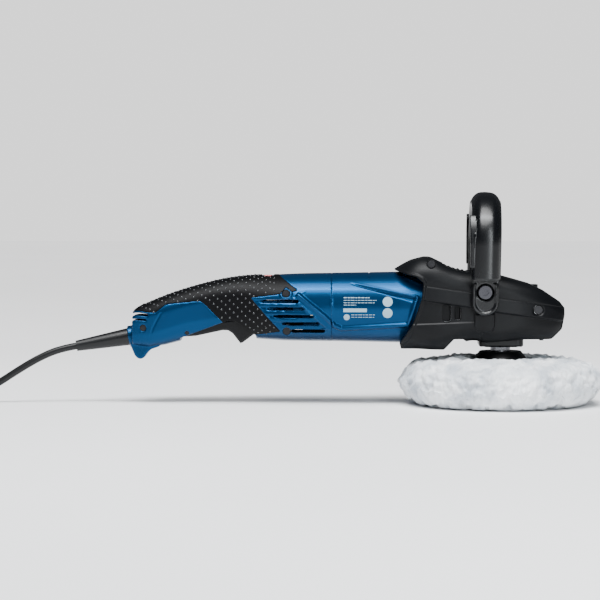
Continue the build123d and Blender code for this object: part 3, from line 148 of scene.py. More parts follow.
LOOKS = {
    # the strong edge lightening here is a painted highlight on the panel's ridges as well as wear
    "blue_housing": material("blue_moulding", (0.0, 0.033, 0.098), 0.28, 0.72, grain=1500, grain_depth=0.08, vary=0.08,
                             coat=0.03, edge_wear_and_highlight=0.35, rough_vary=0.04, gleam=0.2),
    "black_cover": material("black_moulding", (0.0016, 0.0019, 0.0026), 0.42, grain=1500, grain_depth=0.14,
                            vary=0.15, edge_wear_and_highlight=0.03, gleam=0.15),
    "grip_rubber": material("grip_rubber", (0.0012, 0.0013, 0.0017), 0.46, grain=2200, grain_depth=0.2, edge_wear_and_highlight=0.03,
                            gleam=0.1),
    "black_plastic": material("trigger_plastic", (0.002, 0.0022, 0.003), 0.30, grain=1200, grain_depth=0.05,
                              edge_wear_and_highlight=0.03, gleam=0.22),
    "bow_plastic": material("bow_plastic", (0.0016, 0.0019, 0.0026), 0.27, grain=700, grain_depth=0.04,
                            rough_vary=0.04, edge_wear_and_highlight=0.03, gleam=0.36),
    "red_dial": material("red_dial", (0.40, 0.010, 0.012), 0.35, grain=1300, grain_depth=0.08, coat=0.2, edge_wear_and_highlight=0.2),
    "cast_aluminium": material("cast_aluminium", (0.50, 0.51, 0.53), 0.42, 1.0, grain=1000, grain_depth=0.35,
                               vary=0.10, edge_wear_and_highlight=0.3),
    "steel": material("machined_steel", (0.42, 0.42, 0.43), 0.30, 1.0, grain=2600, grain_depth=0.12, vary=0.08),
    "screw_steel": material("black_oxide", (0.012, 0.012, 0.014), 0.34, 0.6, grain=2000, grain_depth=0.12, vary=0.15,
                            edge_wear_and_highlight=0.05),
    "black_metal": material("black_satin_metal", (0.002, 0.0022, 0.0028), 0.38, grain=1400, grain_depth=0.2,
                            vary=0.2, edge_wear_and_highlight=0.03, gleam=0.25),
    "core_steel": material("core_steel", (0.24, 0.24, 0.26), 0.45, 1.0, grain=1800, grain_depth=0.2, vary=0.15),
    "copper": material("enamelled_copper", (0.62, 0.24, 0.10), 0.28, 1.0, grain=900, grain_depth=0.3, vary=0.2),
    "carbon": material("carbon", (0.03, 0.03, 0.03), 0.55, 0.2, grain=2200, grain_depth=0.3),
    "inner_plastic": material("inner_plastic", (0.008, 0.008, 0.009), 0.45, grain=1500, grain_depth=0.12),
    "pad_rubber": material("pad_rubber", (0.006, 0.006, 0.007), 0.6, grain=1500, grain_depth=0.4),
    "cord_rubber": material("cord_rubber", (0.0022, 0.0024, 0.003), 0.38, grain=2400, grain_depth=0.12,
                            vary=0.15, gleam=0.3),
    "pin_brass": material("plated_pins", (0.66, 0.60, 0.42), 0.26, 1.0, grain=2200, grain_depth=0.1),
}


def wool_material():
    """Lambswool: off-white with painted cool shade in the depths between its locks, soft sheen and light coming
    through.
    """
    made = bpy.data.materials.new("lambswool")
    made.use_nodes = True
    tree = made.node_tree
    shader = tree.nodes["Principled BSDF"]
    shader.inputs["Roughness"].default_value = 0.92
    shader.inputs["Sheen Weight"].default_value = 0.35
    shader.inputs["Sheen Roughness"].default_value = 0.6
    shader.inputs["Subsurface Weight"].default_value = 0.15
    shader.inputs["Subsurface Radius"].default_value = (0.008, 0.007, 0.007)
    place = tree.nodes.new("ShaderNodeTexCoord")
    locks, fibre = noise_node(tree, place, 38.0, 6.0, 0.5), noise_node(tree, place, 900.0, 4.0, 2.5)
    # painted shade: the colour darkens to cool grey where the locks noise is low, in the depths between the locks
    ramp = tree.nodes.new("ShaderNodeValToRGB")
    ramp.color_ramp.elements[0].position, ramp.color_ramp.elements[1].position = 0.28, 0.62
    ramp.color_ramp.elements[0].color = (0.36, 0.41, 0.47, 1)
    ramp.color_ramp.elements[1].color = (0.84, 0.86, 0.88, 1)
    tree.links.new(locks.outputs["Fac"], ramp.inputs["Fac"])
    tree.links.new(ramp.outputs["Color"], shader.inputs["Base Color"])
    low, high = tree.nodes.new("ShaderNodeBump"), tree.nodes.new("ShaderNodeBump")
    low.inputs["Strength"].default_value, low.inputs["Distance"].default_value = 0.7, 0.0022
    high.inputs["Strength"].default_value, high.inputs["Distance"].default_value = 0.6, 0.0007
    tree.links.new(locks.outputs["Fac"], low.inputs["Height"])
    tree.links.new(fibre.outputs["Fac"], high.inputs["Height"])
    tree.links.new(low.outputs["Normal"], high.inputs["Normal"])
    tree.links.new(high.outputs["Normal"], shader.inputs["Normal"])
    return made


LOOKS["wool"] = wool_material()
PRINT = material("label_print", (0.24, 0.36, 0.44), 0.5, grain=1500, grain_depth=0.05, vary=0.05)
DOTS = material("grip_dot_rubber", (0.012, 0.013, 0.016), 0.25, grain=2200, grain_depth=0.05, coat=0.4)
FLOOR = material("studio_floor", (0.88, 0.88, 0.885), 0.75, grain=60, grain_depth=0.02, vary=0.01, large=2.0)
for row in frame["record"]["subparts"]:
    part = nodes[row["node"]]
    part.data.materials.clear()
    part.data.materials.append(LOOKS[row["material_slot"]])
nodes["spindle"].data.materials[0] = material("spindle_steel", (0.13, 0.13, 0.14), 0.28, 1.0, grain=2400,
                                              grain_depth=0.1, vary=0.1)
nodes["bow_bolts"].data.materials[0] = material("bolt_steel", (0.075, 0.075, 0.085), 0.16, 1.0, grain=2000,
                                                grain_depth=0.08, vary=0.15, rough_vary=0.05)

floor_mesh = bpy.data.meshes.new("floor")
floor_mesh.from_pydata([(-6, -6, 0), (6, -6, 0), (6, 6, 0), (-6, 6, 0)], [], [(0, 1, 2, 3)])
floor_mesh.materials.append(FLOOR)
floor = bpy.data.objects.new("floor", floor_mesh)
bpy.context.scene.collection.objects.link(floor)
floor.location.z = -0.0002


# ------------------------------------------------------------ mesh helpers
def new_piece(name, verts, faces, look, body, smooth=True):
    """A piece made from its own points and faces; look is a slot's name, or a material."""
    mesh = bpy.data.meshes.new(name)
    mesh.from_pydata([tuple(v) for v in verts], [], faces)
    mesh.validate()
    mesh.update()
    if smooth:
        mesh.shade_smooth()
    mesh.materials.append(LOOKS[look] if isinstance(look, str) else look)
    piece = bpy.data.objects.new(name, mesh)
    bpy.context.scene.collection.objects.link(piece)
    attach(piece, body)
    return piece


def welded_copy(node):
    """The mesh of a CAD node, its faces joined along their shared edges."""
    mesh = nodes[node].data.copy()
    work = bmesh.new()
    work.from_mesh(mesh)
    bmesh.ops.remove_doubles(work, verts=work.verts, dist=2e-6)
    work.to_mesh(mesh)
    work.free()
    return mesh


def coordinates(mesh):
    co = np.empty(len(mesh.vertices) * 3)
    mesh.vertices.foreach_get("co", co)
    return co.reshape(-1, 3)


def normals(mesh):
    out = np.empty(len(mesh.vertices) * 3)
    mesh.vertices.foreach_get("normal", out)
    return out.reshape(-1, 3)


def put_back(mesh, co):
    mesh.vertices.foreach_set("co", np.ascontiguousarray(co).ravel())
    mesh.update()


def relax(mesh, rounds):
    """Taubin smoothing, which rounds moulded edges without shrinking the piece."""
    edges = np.empty(len(mesh.edges) * 2, dtype=np.int64)
    mesh.edges.foreach_get("vertices", edges)
    a, b = edges.reshape(-1, 2).T
    count = np.bincount(np.concatenate([a, b]), minlength=len(mesh.vertices)).reshape(-1, 1)
    co = coordinates(mesh)
    for _ in range(rounds):
        for step in (0.5, -0.51):
            total = np.stack([
                np.bincount(a, co[b, k], len(co)) + np.bincount(b, co[a, k], len(co)) for k in range(3)], axis=1)
            co = co + step * (total / np.maximum(count, 1) - co)
    put_back(mesh, co)


def moulded(node, body, voxel, rounds, shape=None):
    """A dense copy of a CAD solid with rounded edges, which shape() then gives its surface detail."""
    name = node + "_finished"
    look = next(r["material_slot"] for r in frame["record"]["subparts"] if r["node"] == node)
    mesh = welded_copy(node)
    work = bpy.data.objects.new(name + "_work", mesh)
    bpy.context.scene.collection.objects.link(work)
    remesh = work.modifiers.new("voxels", "REMESH")
    remesh.mode, remesh.voxel_size = "VOXEL", voxel
    dense = bpy.data.meshes.new_from_object(work.evaluated_get(bpy.context.evaluated_depsgraph_get()))
    bpy.data.objects.remove(work)
    dense.name = name
    relax(dense, rounds)
    if shape:
        co = coordinates(dense) / MM
        put_back(dense, shape(co, normals(dense)) * MM)
        relax(dense, 1)
    dense.shade_smooth()
    dense.materials.clear()
    dense.materials.append(LOOKS[look])
    piece = bpy.data.objects.new(name, dense)
    bpy.context.scene.collection.objects.link(piece)
    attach(piece, body)
    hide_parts(node)
    return piece


def run_distance(x, z, line):
    """Distance of points from a polyline in the side view, in millimetres."""
    best = np.full(len(x), 1e9)
    for (ax, az), (bx, bz) in zip(line, line[1:]):
        dx, dz = bx - ax, bz - az
        t = np.clip(((x - ax) * dx + (z - az) * dz) / (dx * dx + dz * dz), 0, 1)
        best = np.minimum(best, np.hypot(x - ax - t * dx, z - az - t * dz))
    return best


def ridge(x, z, line, half, soft):
    """1 on the line, falling to 0 past half its width."""
    return np.clip((half + soft / 2 - run_distance(x, z, line)) / soft, 0, 1)


def line_height(x, line):
    """Height of a line in the side view, at each x."""
    return np.interp(x, [p[0] for p in line], [p[1] for p in line])


def step(value, soft):
    """0 to 1 across a width of soft, halfway where the value is 0."""
    t = np.clip(value / soft + 0.5, 0, 1)
    return t * t * (3 - 2 * t)


def inside(x, z, outline):
    """Whether points lie inside a closed outline in the side view."""
    hit = np.zeros(len(x), bool)
    for (ax, az), (bx, bz) in zip(outline, outline[1:] + outline[:1]):
        crosses = (az > z) != (bz > z)
        with np.errstate(divide="ignore", invalid="ignore"):
            at = (bx - ax) * (z - az) / ((bz - az) or 1e-9) + ax
        hit ^= crosses & (x < at)
    return hit


# ------------------------------------------------------------ gear head's covers
COVER_REAR = [(-105.8, 134.4), (-94, 130.5), (-84.4, 128.3), (-79.3, 125.5), (-77.4, 122.5), (-79.3, 106.3),
              (-83.1, 94.8), (-87.6, 82.1), (-92.7, 68.7), (-100.7, 61.7)]
CREASE_HIGH = [(-110, 124.5), (-76.1, 119.7), (-30.2, 113), (-1.7, 107), (32.7, 101.9), (66, 96.5)]
CREASE_MID = [(-110, 110.6), (-79, 105.7), (-28.3, 98), (-1, 93.1), (28.3, 89.1), (66, 83.3)]
CREASE_LOW = [(-110, 80.6), (-86.3, 81.5), (-25, 84), (-10, 78), (66, 72)]
BOW_SCREW = (-17.2, 113.6)
NOSE_SCREW = (35.6, 95.8)
BOW_PLATE_Y = 42.2           # just inside the inner face of the bow's plates
TONGUE = [(-27.5, 92), (-27.5, 79), (-24.5, 74.5), (-10.5, 74.5), (-8, 79), (-8, 92)]


def cover_shape(co, normal):
    """Stepped bands along the side, the rear lip, the tongue under the bow's bolt and the ribs on top."""
    x, y, z = co.T
    side = np.sign(y)
    outer = np.clip((normal[:, 1] * side - 0.25) / 0.3, 0, 1) * (np.abs(y) > 8)
    high, mid, low = (line_height(x, c) for c in (CREASE_HIGH, CREASE_MID, CREASE_LOW))
    band = np.clip((high - z) / np.maximum(high - mid, 1), 0, 1)
    push = 1.6 * band * (1 - step(mid - z, 1.2)) - 1.5 * step(mid - z, 1.2)
    push += 1.3 * step(low - z, 1.4) * (x < -20)
    push += 1.1 * ridge(x, z, COVER_REAR, 2.6, 0.9)
    push -= 0.9 * ridge(x, z, CREASE_HIGH, 0.4, 1.0)
    under_bow = run_distance(x, z, [BOW_SCREW, (BOW_SCREW[0], 100)])
    push = push * (1 - np.clip((11.5 - under_bow) / 3, 0, 1))
    tongue = inside(x, z, TONGUE) * np.clip((94 - z) / 3, 0, 1)
    push = np.where(tongue > 0, np.minimum(np.maximum(push, 0) + 1.2 * tongue, BOW_PLATE_Y - np.abs(y)), push)
    away = np.hypot(x - NOSE_SCREW[0], z - NOSE_SCREW[1])
    push = push * np.clip((away - 5.0) / 1.5, 0, 1)
    co = co.copy()
    co[:, 1] += side * push * outer
    top = np.clip((normal[:, 2] - 0.35) / 0.3, 0, 1) * (x > -57) * (x < -32) * (np.abs(y) < 31) * (z > 120)
    co[:, 2] -= top * (0.5 + 1.1 * (np.cos(2 * math.pi * (x + 55) / 4.4) < 0.1))
    return co


for end in ("right", "left"):
    moulded("gear_cover_" + end, "tool", 0.00065, 3, cover_shape)

EXHAUSTS = ((-60.5, -49.0, 82.5, 102.5), (-48.9, -39.5, 84.5, 100.5))
SLATS = 5


def louvre_block(side):
    """Upright slanted slats behind the exhaust openings of one cover."""
    verts, faces = [], []
    for x0, x1, z0, z1 in EXHAUSTS:
        for n in range(SLATS):
            x = x0 + (x1 - x0) * (n + 0.5) / SLATS
            base = len(verts)
            for px, py in ((x - 1.9, 35.6), (x + 0.4, 35.6), (x + 1.9, 33.2), (x - 0.4, 33.2)):
                verts += [(px * MM, side * py * MM, z0 * MM), (px * MM, side * py * MM, z1 * MM)]
            for a, b in ((0, 2), (2, 4), (4, 6), (6, 0)):
                faces.append((base + a, base + b, base + b + 1, base + a + 1))
            faces.append((base, base + 2, base + 4, base + 6))
            faces.append((base + 7, base + 5, base + 3, base + 1))
    return verts, faces


for side, end in ((-1, "right"), (1, "left")):
    slats, slat_faces = louvre_block(side)
    new_piece("exhaust_louvres_" + end, slats, slat_faces, "black_cover", "tool", smooth=False)

# ------------------------------------------------------------ motor housing
PANEL = [(-200.4, 109.8), (-189.8, 101), (-175.8, 89.8), (-165.3, 80), (-158.3, 76.8), (-92.2, 80.9), (-83.9, 107.1)]
DARK_CREASE = [(-149, 121.7), (-87.7, 107.1)]
MOTOR_Z, BARREL_R = 96.7, 32.5
SEAM_X = -131
HANDLE_JOINT_X = -168
PANEL_AREA = [(-198, 110), (-189.8, 101), (-175.8, 89.8), (-165.3, 80), (-158.3, 76.8), (-92.2, 80.9),
              (-83.9, 107.1), (-149, 121.7), (-168, 121), (-190, 116)]


def panel_push(x, z):
    """The raised bevel round the panel and the panel's slightly sunk field."""
    field = np.clip((run_distance(x, z, PANEL) - 1.0) / 1.2, 0, 1) * inside(x, z, PANEL_AREA)
    field = field * np.clip((115 - z) / 10, 0, 1)
    return 2.1 * ridge(x, z, PANEL, 1.9, 2.0) - 0.7 * field


def housing_shape(co, normal):
    """The panel, the tapered crease over it, the ridge by the gear head and the seam across the top."""
    x, y, z = co.T
    reach = np.hypot(y, z - MOTOR_Z)
    outer = (reach > BARREL_R) * np.clip((np.abs(normal[:, 1]) - 0.12) / 0.2, 0, 1)
    push = panel_push(x, z)
    taper = np.clip((x + 150) / 62, 0, 1)
    under = line_height(x, DARK_CREASE) + 1.8 * taper - z
    depth = np.clip(1 - under / (1.5 + 4.5 * taper), 0, 1) * np.clip(under / 0.6, 0, 1)
    push -= 3.0 * depth * np.clip(4 * taper, 0, 1) * (x < -85)
    push += 0.8 * taper * np.clip(1 + under / 2.2, 0, 1) * (under < 0) * (x < -85)
    push += 0.8 * ridge(x, z, [(-105.6, 130.7), (-80.7, 120.5)], 1.0, 1.0)
    push = np.where(x < -165.5, push * np.clip((x - HANDLE_JOINT_X) / 1.5, 0, 1), push)
    radial = np.stack([np.zeros(len(x)), y, z - MOTOR_Z], axis=1) / np.maximum(reach, 1)[:, None]
    seam = (reach > BARREL_R) * (normal[:, 0] ** 2 < 0.5) * (z > 126)
    seam = seam * np.clip((1.0 - np.abs(x - SEAM_X)) / 0.6, 0, 1)
    return co + radial * (push * outer - 0.8 * seam)[:, None]


moulded("motor_housing", "tool", 0.0008, 3, housing_shape)

# ------------------------------------------------------------ rear handle
# x, underside, top and half width
HANDLE_STATIONS = [
    (-367, 57.5, 92.5, 17), (-351, 56, 101.3, 20.5), (-334, 59, 108.3, 22.5), (-311, 65, 116, 23.5),
    (-285, 68, 122.8, 24.5), (-260, 67, 127.4, 27), (-238, 64.6, 129.1, 31), (-215, 63.1, 129.4, 33.6),
    (-190, 62.6, 130.3, 34.2), (-168, 62.4, 130.8, 34.2)]
HANDLE_TOP = [
    (-367, 92.5), (-363.2, 95.7), (-350.9, 101.4), (-334.1, 108.3), (-311.1, 116), (-293.5, 120.9), (-272.9, 125.5),
    (-260, 127.4), (-238.5, 129.1), (-221.6, 129.3), (-200.6, 130.2), (-168, 130.8)]


def smooth_between(x, points, column):
    """A cubic through the stations that keeps its slope, so that the handle has no facets."""
    xs = np.array([p[0] for p in points], float)
    vs = np.array([p[column] for p in points], float)
    slope = np.gradient(vs, xs)
    i = np.clip(np.searchsorted(xs, x) - 1, 0, len(xs) - 2)
    w = xs[i + 1] - xs[i]
    t = np.clip((x - xs[i]) / w, 0, 1)
    return ((2 * t**3 - 3 * t**2 + 1) * vs[i] + (t**3 - 2 * t**2 + t) * w * slope[i]
            + (3 * t**2 - 2 * t**3) * vs[i + 1] + (t**3 - t**2) * w * slope[i + 1])


def handle_flow(co):
    """Moves points from the straight-sided loft to one that flows through the same stations."""
    x, y, z = co.T
    at = np.clip(x, HANDLE_STATIONS[0][0], HANDLE_JOINT_X)
    xs = [s[0] for s in HANDLE_STATIONS]
    low, high, half = (np.interp(at, xs, [s[k] for s in HANDLE_STATIONS]) for k in (1, 2, 3))
    new_high = smooth_between(at, HANDLE_TOP, 1)
    new_half = smooth_between(at, HANDLE_STATIONS, 3)
    middle = (low + high) / 2
    z = np.where(z > middle, middle + (z - middle) * (new_high - middle) / (high - middle), z)
    return np.stack([x, y * new_half / half, z], axis=1)


GRILLE_AREA = [(-247, 105.3), (-205.3, 105.3), (-175.1, 78.6), (-173, 76.8), (-205.3, 71.9), (-216, 72)]
SLOT_PITCH = 7.35
UPPER_SCREW = (-213, 111.3)


def handle_shape(co, normal):
    """The panel's rear end, the slanted air slots with their frame, the screw's boss and the rear crease."""
    x, y, z = co.T
    side = np.sign(y)
    outer = np.clip((normal[:, 1] * side - 0.1) / 0.2, 0, 1) * (np.abs(y) > 13)
    push = panel_push(x, z) * np.clip((HANDLE_JOINT_X - x) / 1.5, 0, 1)
    grille = inside(x, z, GRILLE_AREA) * np.clip(run_distance(x, z, GRILLE_AREA + GRILLE_AREA[:1]) / 1.2, 0, 1)
    row = ((105.4 - z - 0.06 * np.maximum(x + 215, 0)) / SLOT_PITCH) % 1.0
    push += grille * (-1.5 + 1.7 * row)
    push += 0.9 * ridge(x, z, [(-205.3, 106.2), (-174, 78.3)], 0.9, 0.9)
    push += 0.7 * ridge(x, z, [(-205.3, 71.5), (-172, 76.3)], 0.7, 0.9)
    boss = np.hypot(x - UPPER_SCREW[0], z - UPPER_SCREW[1])
    push += 1.2 * np.clip((6.6 - boss) / 0.8, 0, 1) * (boss > 3.7)
    push -= 0.7 * ridge(x, z, [(-338, 91), (-346, 76), (-352, 56)], 0.4, 1.6)
    co = handle_flow(co)
    co[:, 1] += side * push * outer
    return co


def grip_shape(co, normal):
    """The grip follows the handle, a little proud of it."""
    return handle_flow(co) + 0.12 * normal


for end in ("right", "left"):
    moulded("handle_shell_" + end, "tool", 0.0008, 3, handle_shape)
grips = [moulded("soft_grip_" + end, "tool", 0.0006, 2, grip_shape) for end in ("right", "left")]


DOT_RADIUS, DOT_HEIGHT, DOT_SIDES = 0.00105, 0.00055, 10
DOT_PITCH_X, DOT_PITCH_ROUND = 4.0, 8.0
LOOK_FROM = 0.09             # how far out the rays start that find the grip


def dome(centre, normal, verts, faces):
    """One low dot, its foot sunk into the grip."""
    sides = DOT_SIDES
    normal = normal.normalized()
    across = normal.orthogonal().normalized()
    up = normal.cross(across)
    base = len(verts)
    for share, rise in ((1.0, -0.35), (0.92, 0.25), (0.62, 0.75)):
        for k in range(sides):
            a = 2 * math.pi * k / sides
            spoke = math.cos(a) * across + math.sin(a) * up
            verts.append(centre + DOT_RADIUS * share * spoke + normal * DOT_HEIGHT * rise)
    verts.append(centre + normal * DOT_HEIGHT)
    for ring in (0, 1):
        for k in range(sides):
            n = (k + 1) % sides
            faces.append((base + ring * sides + k, base + ring * sides + n,
                          base + (ring + 1) * sides + n, base + (ring + 1) * sides + k))
    for k in range(sides):
        faces.append((base + 2 * sides + k, base + 2 * sides + (k + 1) % sides, base + 3 * sides))
    faces.append(tuple(base + k for k in reversed(range(sides))))


def grip_dots(grip, side):
    """Raised dots over one soft grip, in rows that stagger by half their pitch."""
    tree = BVHTree.FromObject(grip, bpy.context.evaluated_depsgraph_get())
    verts, faces = [], []
    axis_line = [(s[0], (s[1] + s[2]) / 2) for s in HANDLE_STATIONS]
    for row, x in enumerate(np.arange(-361, -222, DOT_PITCH_X)):
        middle = float(np.interp(x, [p[0] for p in axis_line], [p[1] for p in axis_line]))
        centre = Vector((x * MM, 0, middle * MM))
        arc, angle = (DOT_PITCH_ROUND / 2 if row % 2 else 0.0), 90.0
        while angle > -60:
            a = math.radians(angle)
            ray = Vector((0, side * math.cos(a), math.sin(a)))
            hit, normal, _, reach = tree.ray_cast(centre + ray * LOOK_FROM, -ray)
            radius = (LOOK_FROM - reach) / MM if hit else 28.0
            if arc >= DOT_PITCH_ROUND or angle == 90.0 and row % 2 == 0:
                if hit and radius > 17 and normal.dot(ray) > 0.55:
                    beside = [centre + Vector((dx, 0, 0)) + ray * LOOK_FROM for dx in (-0.002, 0.002)]
                    near = [tree.ray_cast(start, -ray)[3] or 9 for start in beside]
                    if all(abs(n - reach) < 0.0012 for n in near):
                        dome(hit, normal, verts, faces)
                arc = 0.0
            angle -= 2.0
            arc += radius * math.radians(2.0)
    return verts, faces


for grip, side, end in zip(grips, (-1, 1), ("right", "left")):
    dot_verts, dot_faces = grip_dots(grip, side)
    new_piece("grip_dots_" + end, dot_verts, dot_faces, DOTS, "tool")

# ------------------------------------------------------------ controls and small fittings
moulded("trigger", "trigger", 0.0007, 3)
moulded("speed_dial", "speed_dial", 0.0003, 1)
moulded("lock_on_button", "lock_on_button", 0.0004, 3)
moulded("spindle_lock_button", "spindle_lock", 0.0004, 3)
moulded("spindle_bearing_flange", "tool", 0.0006, 2)
moulded("bearing_plate", "tool", 0.0007, 2)


# ------------------------------------------------------------ bow handle
BEND_Y, BEND_Z, BEND_R = 10.5, 160, 42    # centre and radius of the bow's upper bends
LEAN = 0.021                              # how far the bow leans forward, for each unit of height
GRIP_HALF_WIDTH, CROWN = 14.5, 3.0


def bow_shape(co, normal):
    """A rim round the bolt's recess, and the rear ribs bent to follow the arms as they turn over."""
    x, y, z = co.T
    side = np.sign(y)
    outer = np.clip((normal[:, 1] * side - 0.3) / 0.3, 0, 1)
    slot = run_distance(x, z, [(BOW_SCREW[0], BOW_SCREW[1] + 4), (BOW_SCREW[0], BOW_SCREW[1] - 10)])
    push = 1.5 * np.clip((1.6 - np.abs(slot - 11.0)) / 0.8, 0, 1) * (z < 122)
    co = co.copy()
    co[:, 1] += side * push * outer
    rear = x - BOW_SCREW[0] - LEAN * (z - BOW_SCREW[1])
    rise, reach = z - BEND_Z, np.abs(y) - BEND_Y
    rib = (rise > 0) & (reach > 40) & (rear < -8) & ((rear < -12.1) | (np.hypot(reach, rise) > 48.7))
    turn = rise[rib] / BEND_R
    co[rib, 1] = side[rib] * (BEND_Y + reach[rib] * np.cos(turn))
    co[rib, 2] = BEND_Z + reach[rib] * np.sin(turn)
    return co


moulded("bow_frame", "bow_handle", 0.0008, 6, bow_shape)


def grip_crown(co, normal):
    """Draws the outer edges in, so that the bow's outside is domed rather than flat."""
    x, y, z = co.T
    centre = BOW_SCREW[0] + LEAN * (z - BOW_SCREW[1])
    share = CROWN * ((x - centre) / GRIP_HALF_WIDTH) ** 2
    outward = np.sign(y) * np.clip(np.abs(y) - BEND_Y, 0, BEND_R)
    bend = np.stack([np.zeros(len(x)), outward, np.clip(z - BEND_Z, 0, BEND_R)], axis=1)
    out = bend / np.maximum(np.linalg.norm(bend, axis=1), 1)[:, None]
    facing = np.clip((normal * out).sum(axis=1) / 0.4, 0, 1)
    return co - out * (share * facing)[:, None]


moulded("bow_grip", "bow_handle", 0.0008, 6, grip_crown)


# ------------------------------------------------------------ wool bonnet
BONNET_R = 101.0
RIM_R, RIM_Z = 77, 21.6                   # centre of the rim's round section
RIM_REACH, RIM_RISE = 22.5, 21.2
TOP_Z, HUB_RISE = 42.8, 3.2               # the top climbs a little towards the hub
OPENING_R, PAD_R = 31.4, 85.3
LINING_LOW, LINING_HIGH = 23.8, 38.3      # faces that lie against the pad
AROUND = 1080
FOLD_AT, CRACK_AT = math.radians(205), math.radians(213)


def wool_height(c, s, z, size, seed):
    return noise.noise(Vector((c * size, s * size, z * size / BONNET_R + seed)))


def share_between(value, start, width):
    return min(max((value - start) / width, 0), 1)


def bonnet_profile():
    """Radius and height from the working face round the rim to the opening, then back inside along the pad."""
    profile = [(r, 0.4) for r in np.linspace(2, 74, 30)]
    for k in range(60):
        a = math.radians(-90 + 180 * k / 59)
        profile.append((RIM_R + RIM_REACH * math.cos(a) ** 0.9, RIM_Z + RIM_RISE * math.sin(a)))
    profile += [(r, TOP_Z + HUB_RISE * min((RIM_R - r) / 22, 1)) for r in np.linspace(76, 33, 36)]
    lining = [(31.6, 44.0), (OPENING_R, 41), (32.0, 38.35), (50, LINING_HIGH), (PAD_R, LINING_HIGH), (PAD_R, 31),
              (PAD_R, LINING_LOW), (60, LINING_LOW), (2, LINING_LOW)]
    return profile + lining, len(profile)


def tufted(r, z, a):
    """Pushes a point of the outside into puffs, clumps, locks and curls, with one fold and a crack beside it."""
    c, s = r * math.cos(a) / BONNET_R, r * math.sin(a) / BONNET_R
    puffs, clumps = wool_height(c, s, z, 7.0, 1), wool_height(c, s, z, 16.0, 5)
    locks, curls = wool_height(c, s, z * 0.6, 44.0, 9), wool_height(c, s, z, 110.0, 13)
    fine = wool_height(c, s, z, 240.0, 17)
    push = 3.4 * puffs + 3.6 * clumps + 1.0 * locks + 0.7 * curls + 0.45 * fine
    if r > RIM_R:
        angle = math.atan2(z - RIM_Z, r - RIM_R + 1e-6)
    else:
        angle = math.copysign(math.pi / 2, z - 21)
    rim = share_between(r, 60, 20)
    rr = r + push * math.cos(angle) * rim
    if z < RIM_Z:
        lift = max(0.0, clumps * 9.0 + puffs * 8.0 + 2.2) * share_between(r, 72, 12)
        zz = z + (lift * (1 - z / RIM_Z) + max(0.0, push) * 0.15 * rim)
    else:
        zz = z + push * math.sin(angle) * (0.8 if r > 40 else 0.35)
    fold = math.exp(-((a - FOLD_AT) / 0.13) ** 2) * share_between(r, 50, 20)
    crack = math.exp(-((a - CRACK_AT) / 0.035) ** 2) * share_between(r, 50, 20)
    zz += (2.5 * fold - 3.0 * crack) * share_between(z, 26, 12)
    rr = min(rr, 103.0)
    if r < 40:
        rr = max(rr, OPENING_R)
    return rr, min(max(zz, 0.05), 49.5)


def bonnet():
    around, verts, faces = AROUND, [], []
    profile, outside = bonnet_profile()
    for j, (r, z) in enumerate(profile):
        for i in range(around):
            a = 2 * math.pi * i / around
            rr, zz = tufted(r, z, a) if j < outside else (r, z)
            verts.append((rr * math.cos(a) * MM, rr * math.sin(a) * MM, zz * MM))
    for j in range(len(profile) - 1):
        for i in range(around):
            n = (i + 1) % around
            faces.append((j * around + i, (j + 1) * around + i, (j + 1) * around + n, j * around + n))
    low, high = len(verts), len(verts) + 1
    verts += [(0, 0, 0.4 * MM), (0, 0, LINING_LOW * MM)]
    last = (len(profile) - 1) * around
    for i in range(around):
        n = (i + 1) % around
        faces.append((low, i, n))
        faces.append((high, last + n, last + i))
    piece = new_piece("wool_bonnet", verts, faces, "wool", "spindle")
    work = bmesh.new()
    work.from_mesh(piece.data)
    bmesh.ops.recalc_face_normals(work, faces=work.faces)
    work.to_mesh(piece.data)
    work.free()
    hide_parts("polishing_bonnet")


bonnet()


# ------------------------------------------------------------ printed marks on the motor housing, all blank
DISC_SIDES = 28
DASHES, DASH_GAP = (3.1, 2.2, 4.0, 1.6, 2.7), 0.75
housing = bpy.data.objects["motor_housing_finished"]
housing_tree = BVHTree.FromObject(housing, bpy.context.evaluated_depsgraph_get())


def on_housing(x, z, rise):
    """A point just over the housing's right side."""
    hit, _, _, _ = housing_tree.ray_cast(Vector((x * MM, -0.08, z * MM)), Vector((0, 1, 0)))
    return hit + Vector((0, -rise * MM, 0))


def printed(rings, verts, faces):
    """A thin mark that lies on the housing's right side; its rings share a number of points, outermost first."""
    base, count = len(verts), len(rings[0])
    for rise, group in ((0.14, rings), (-0.2, rings[:1])):
        for ring in group:
            verts.extend(on_housing(x, z, rise) for x, z in ring)
    under = base + len(rings) * count
    for k in range(count):
        n = (k + 1) % count
        for level in range(len(rings) - 1):
            a, b = base + level * count, base + (level + 1) * count
            faces.append((a + k, a + n, b + n, b + k))
        faces.append((under + k, under + n, base + n, base + k))
    inner = base + (len(rings) - 1) * count
    faces.append(tuple(inner + k for k in range(count)))
    faces.append(tuple(under + k for k in reversed(range(count))))


def bar_mark(x0, x1, z0, z1):
    return [[(x0, z0), (x1, z0), (x1, z1), (x0, z1)]]


def disc_mark(x, z, radius):
    circle = [(math.cos(a), math.sin(a)) for a in (2 * math.pi * k / DISC_SIDES for k in range(DISC_SIDES))]
    return [[(x + radius * share * c, z + radius * share * s) for c, s in circle] for share in (1, 0.72, 0.45, 0.15)]


mark_verts, mark_faces = [], []
for start in np.arange(-156.3, -134, 2.9):
    printed(bar_mark(start, start + 2.9, 93.3, 96.9), mark_verts, mark_faces)
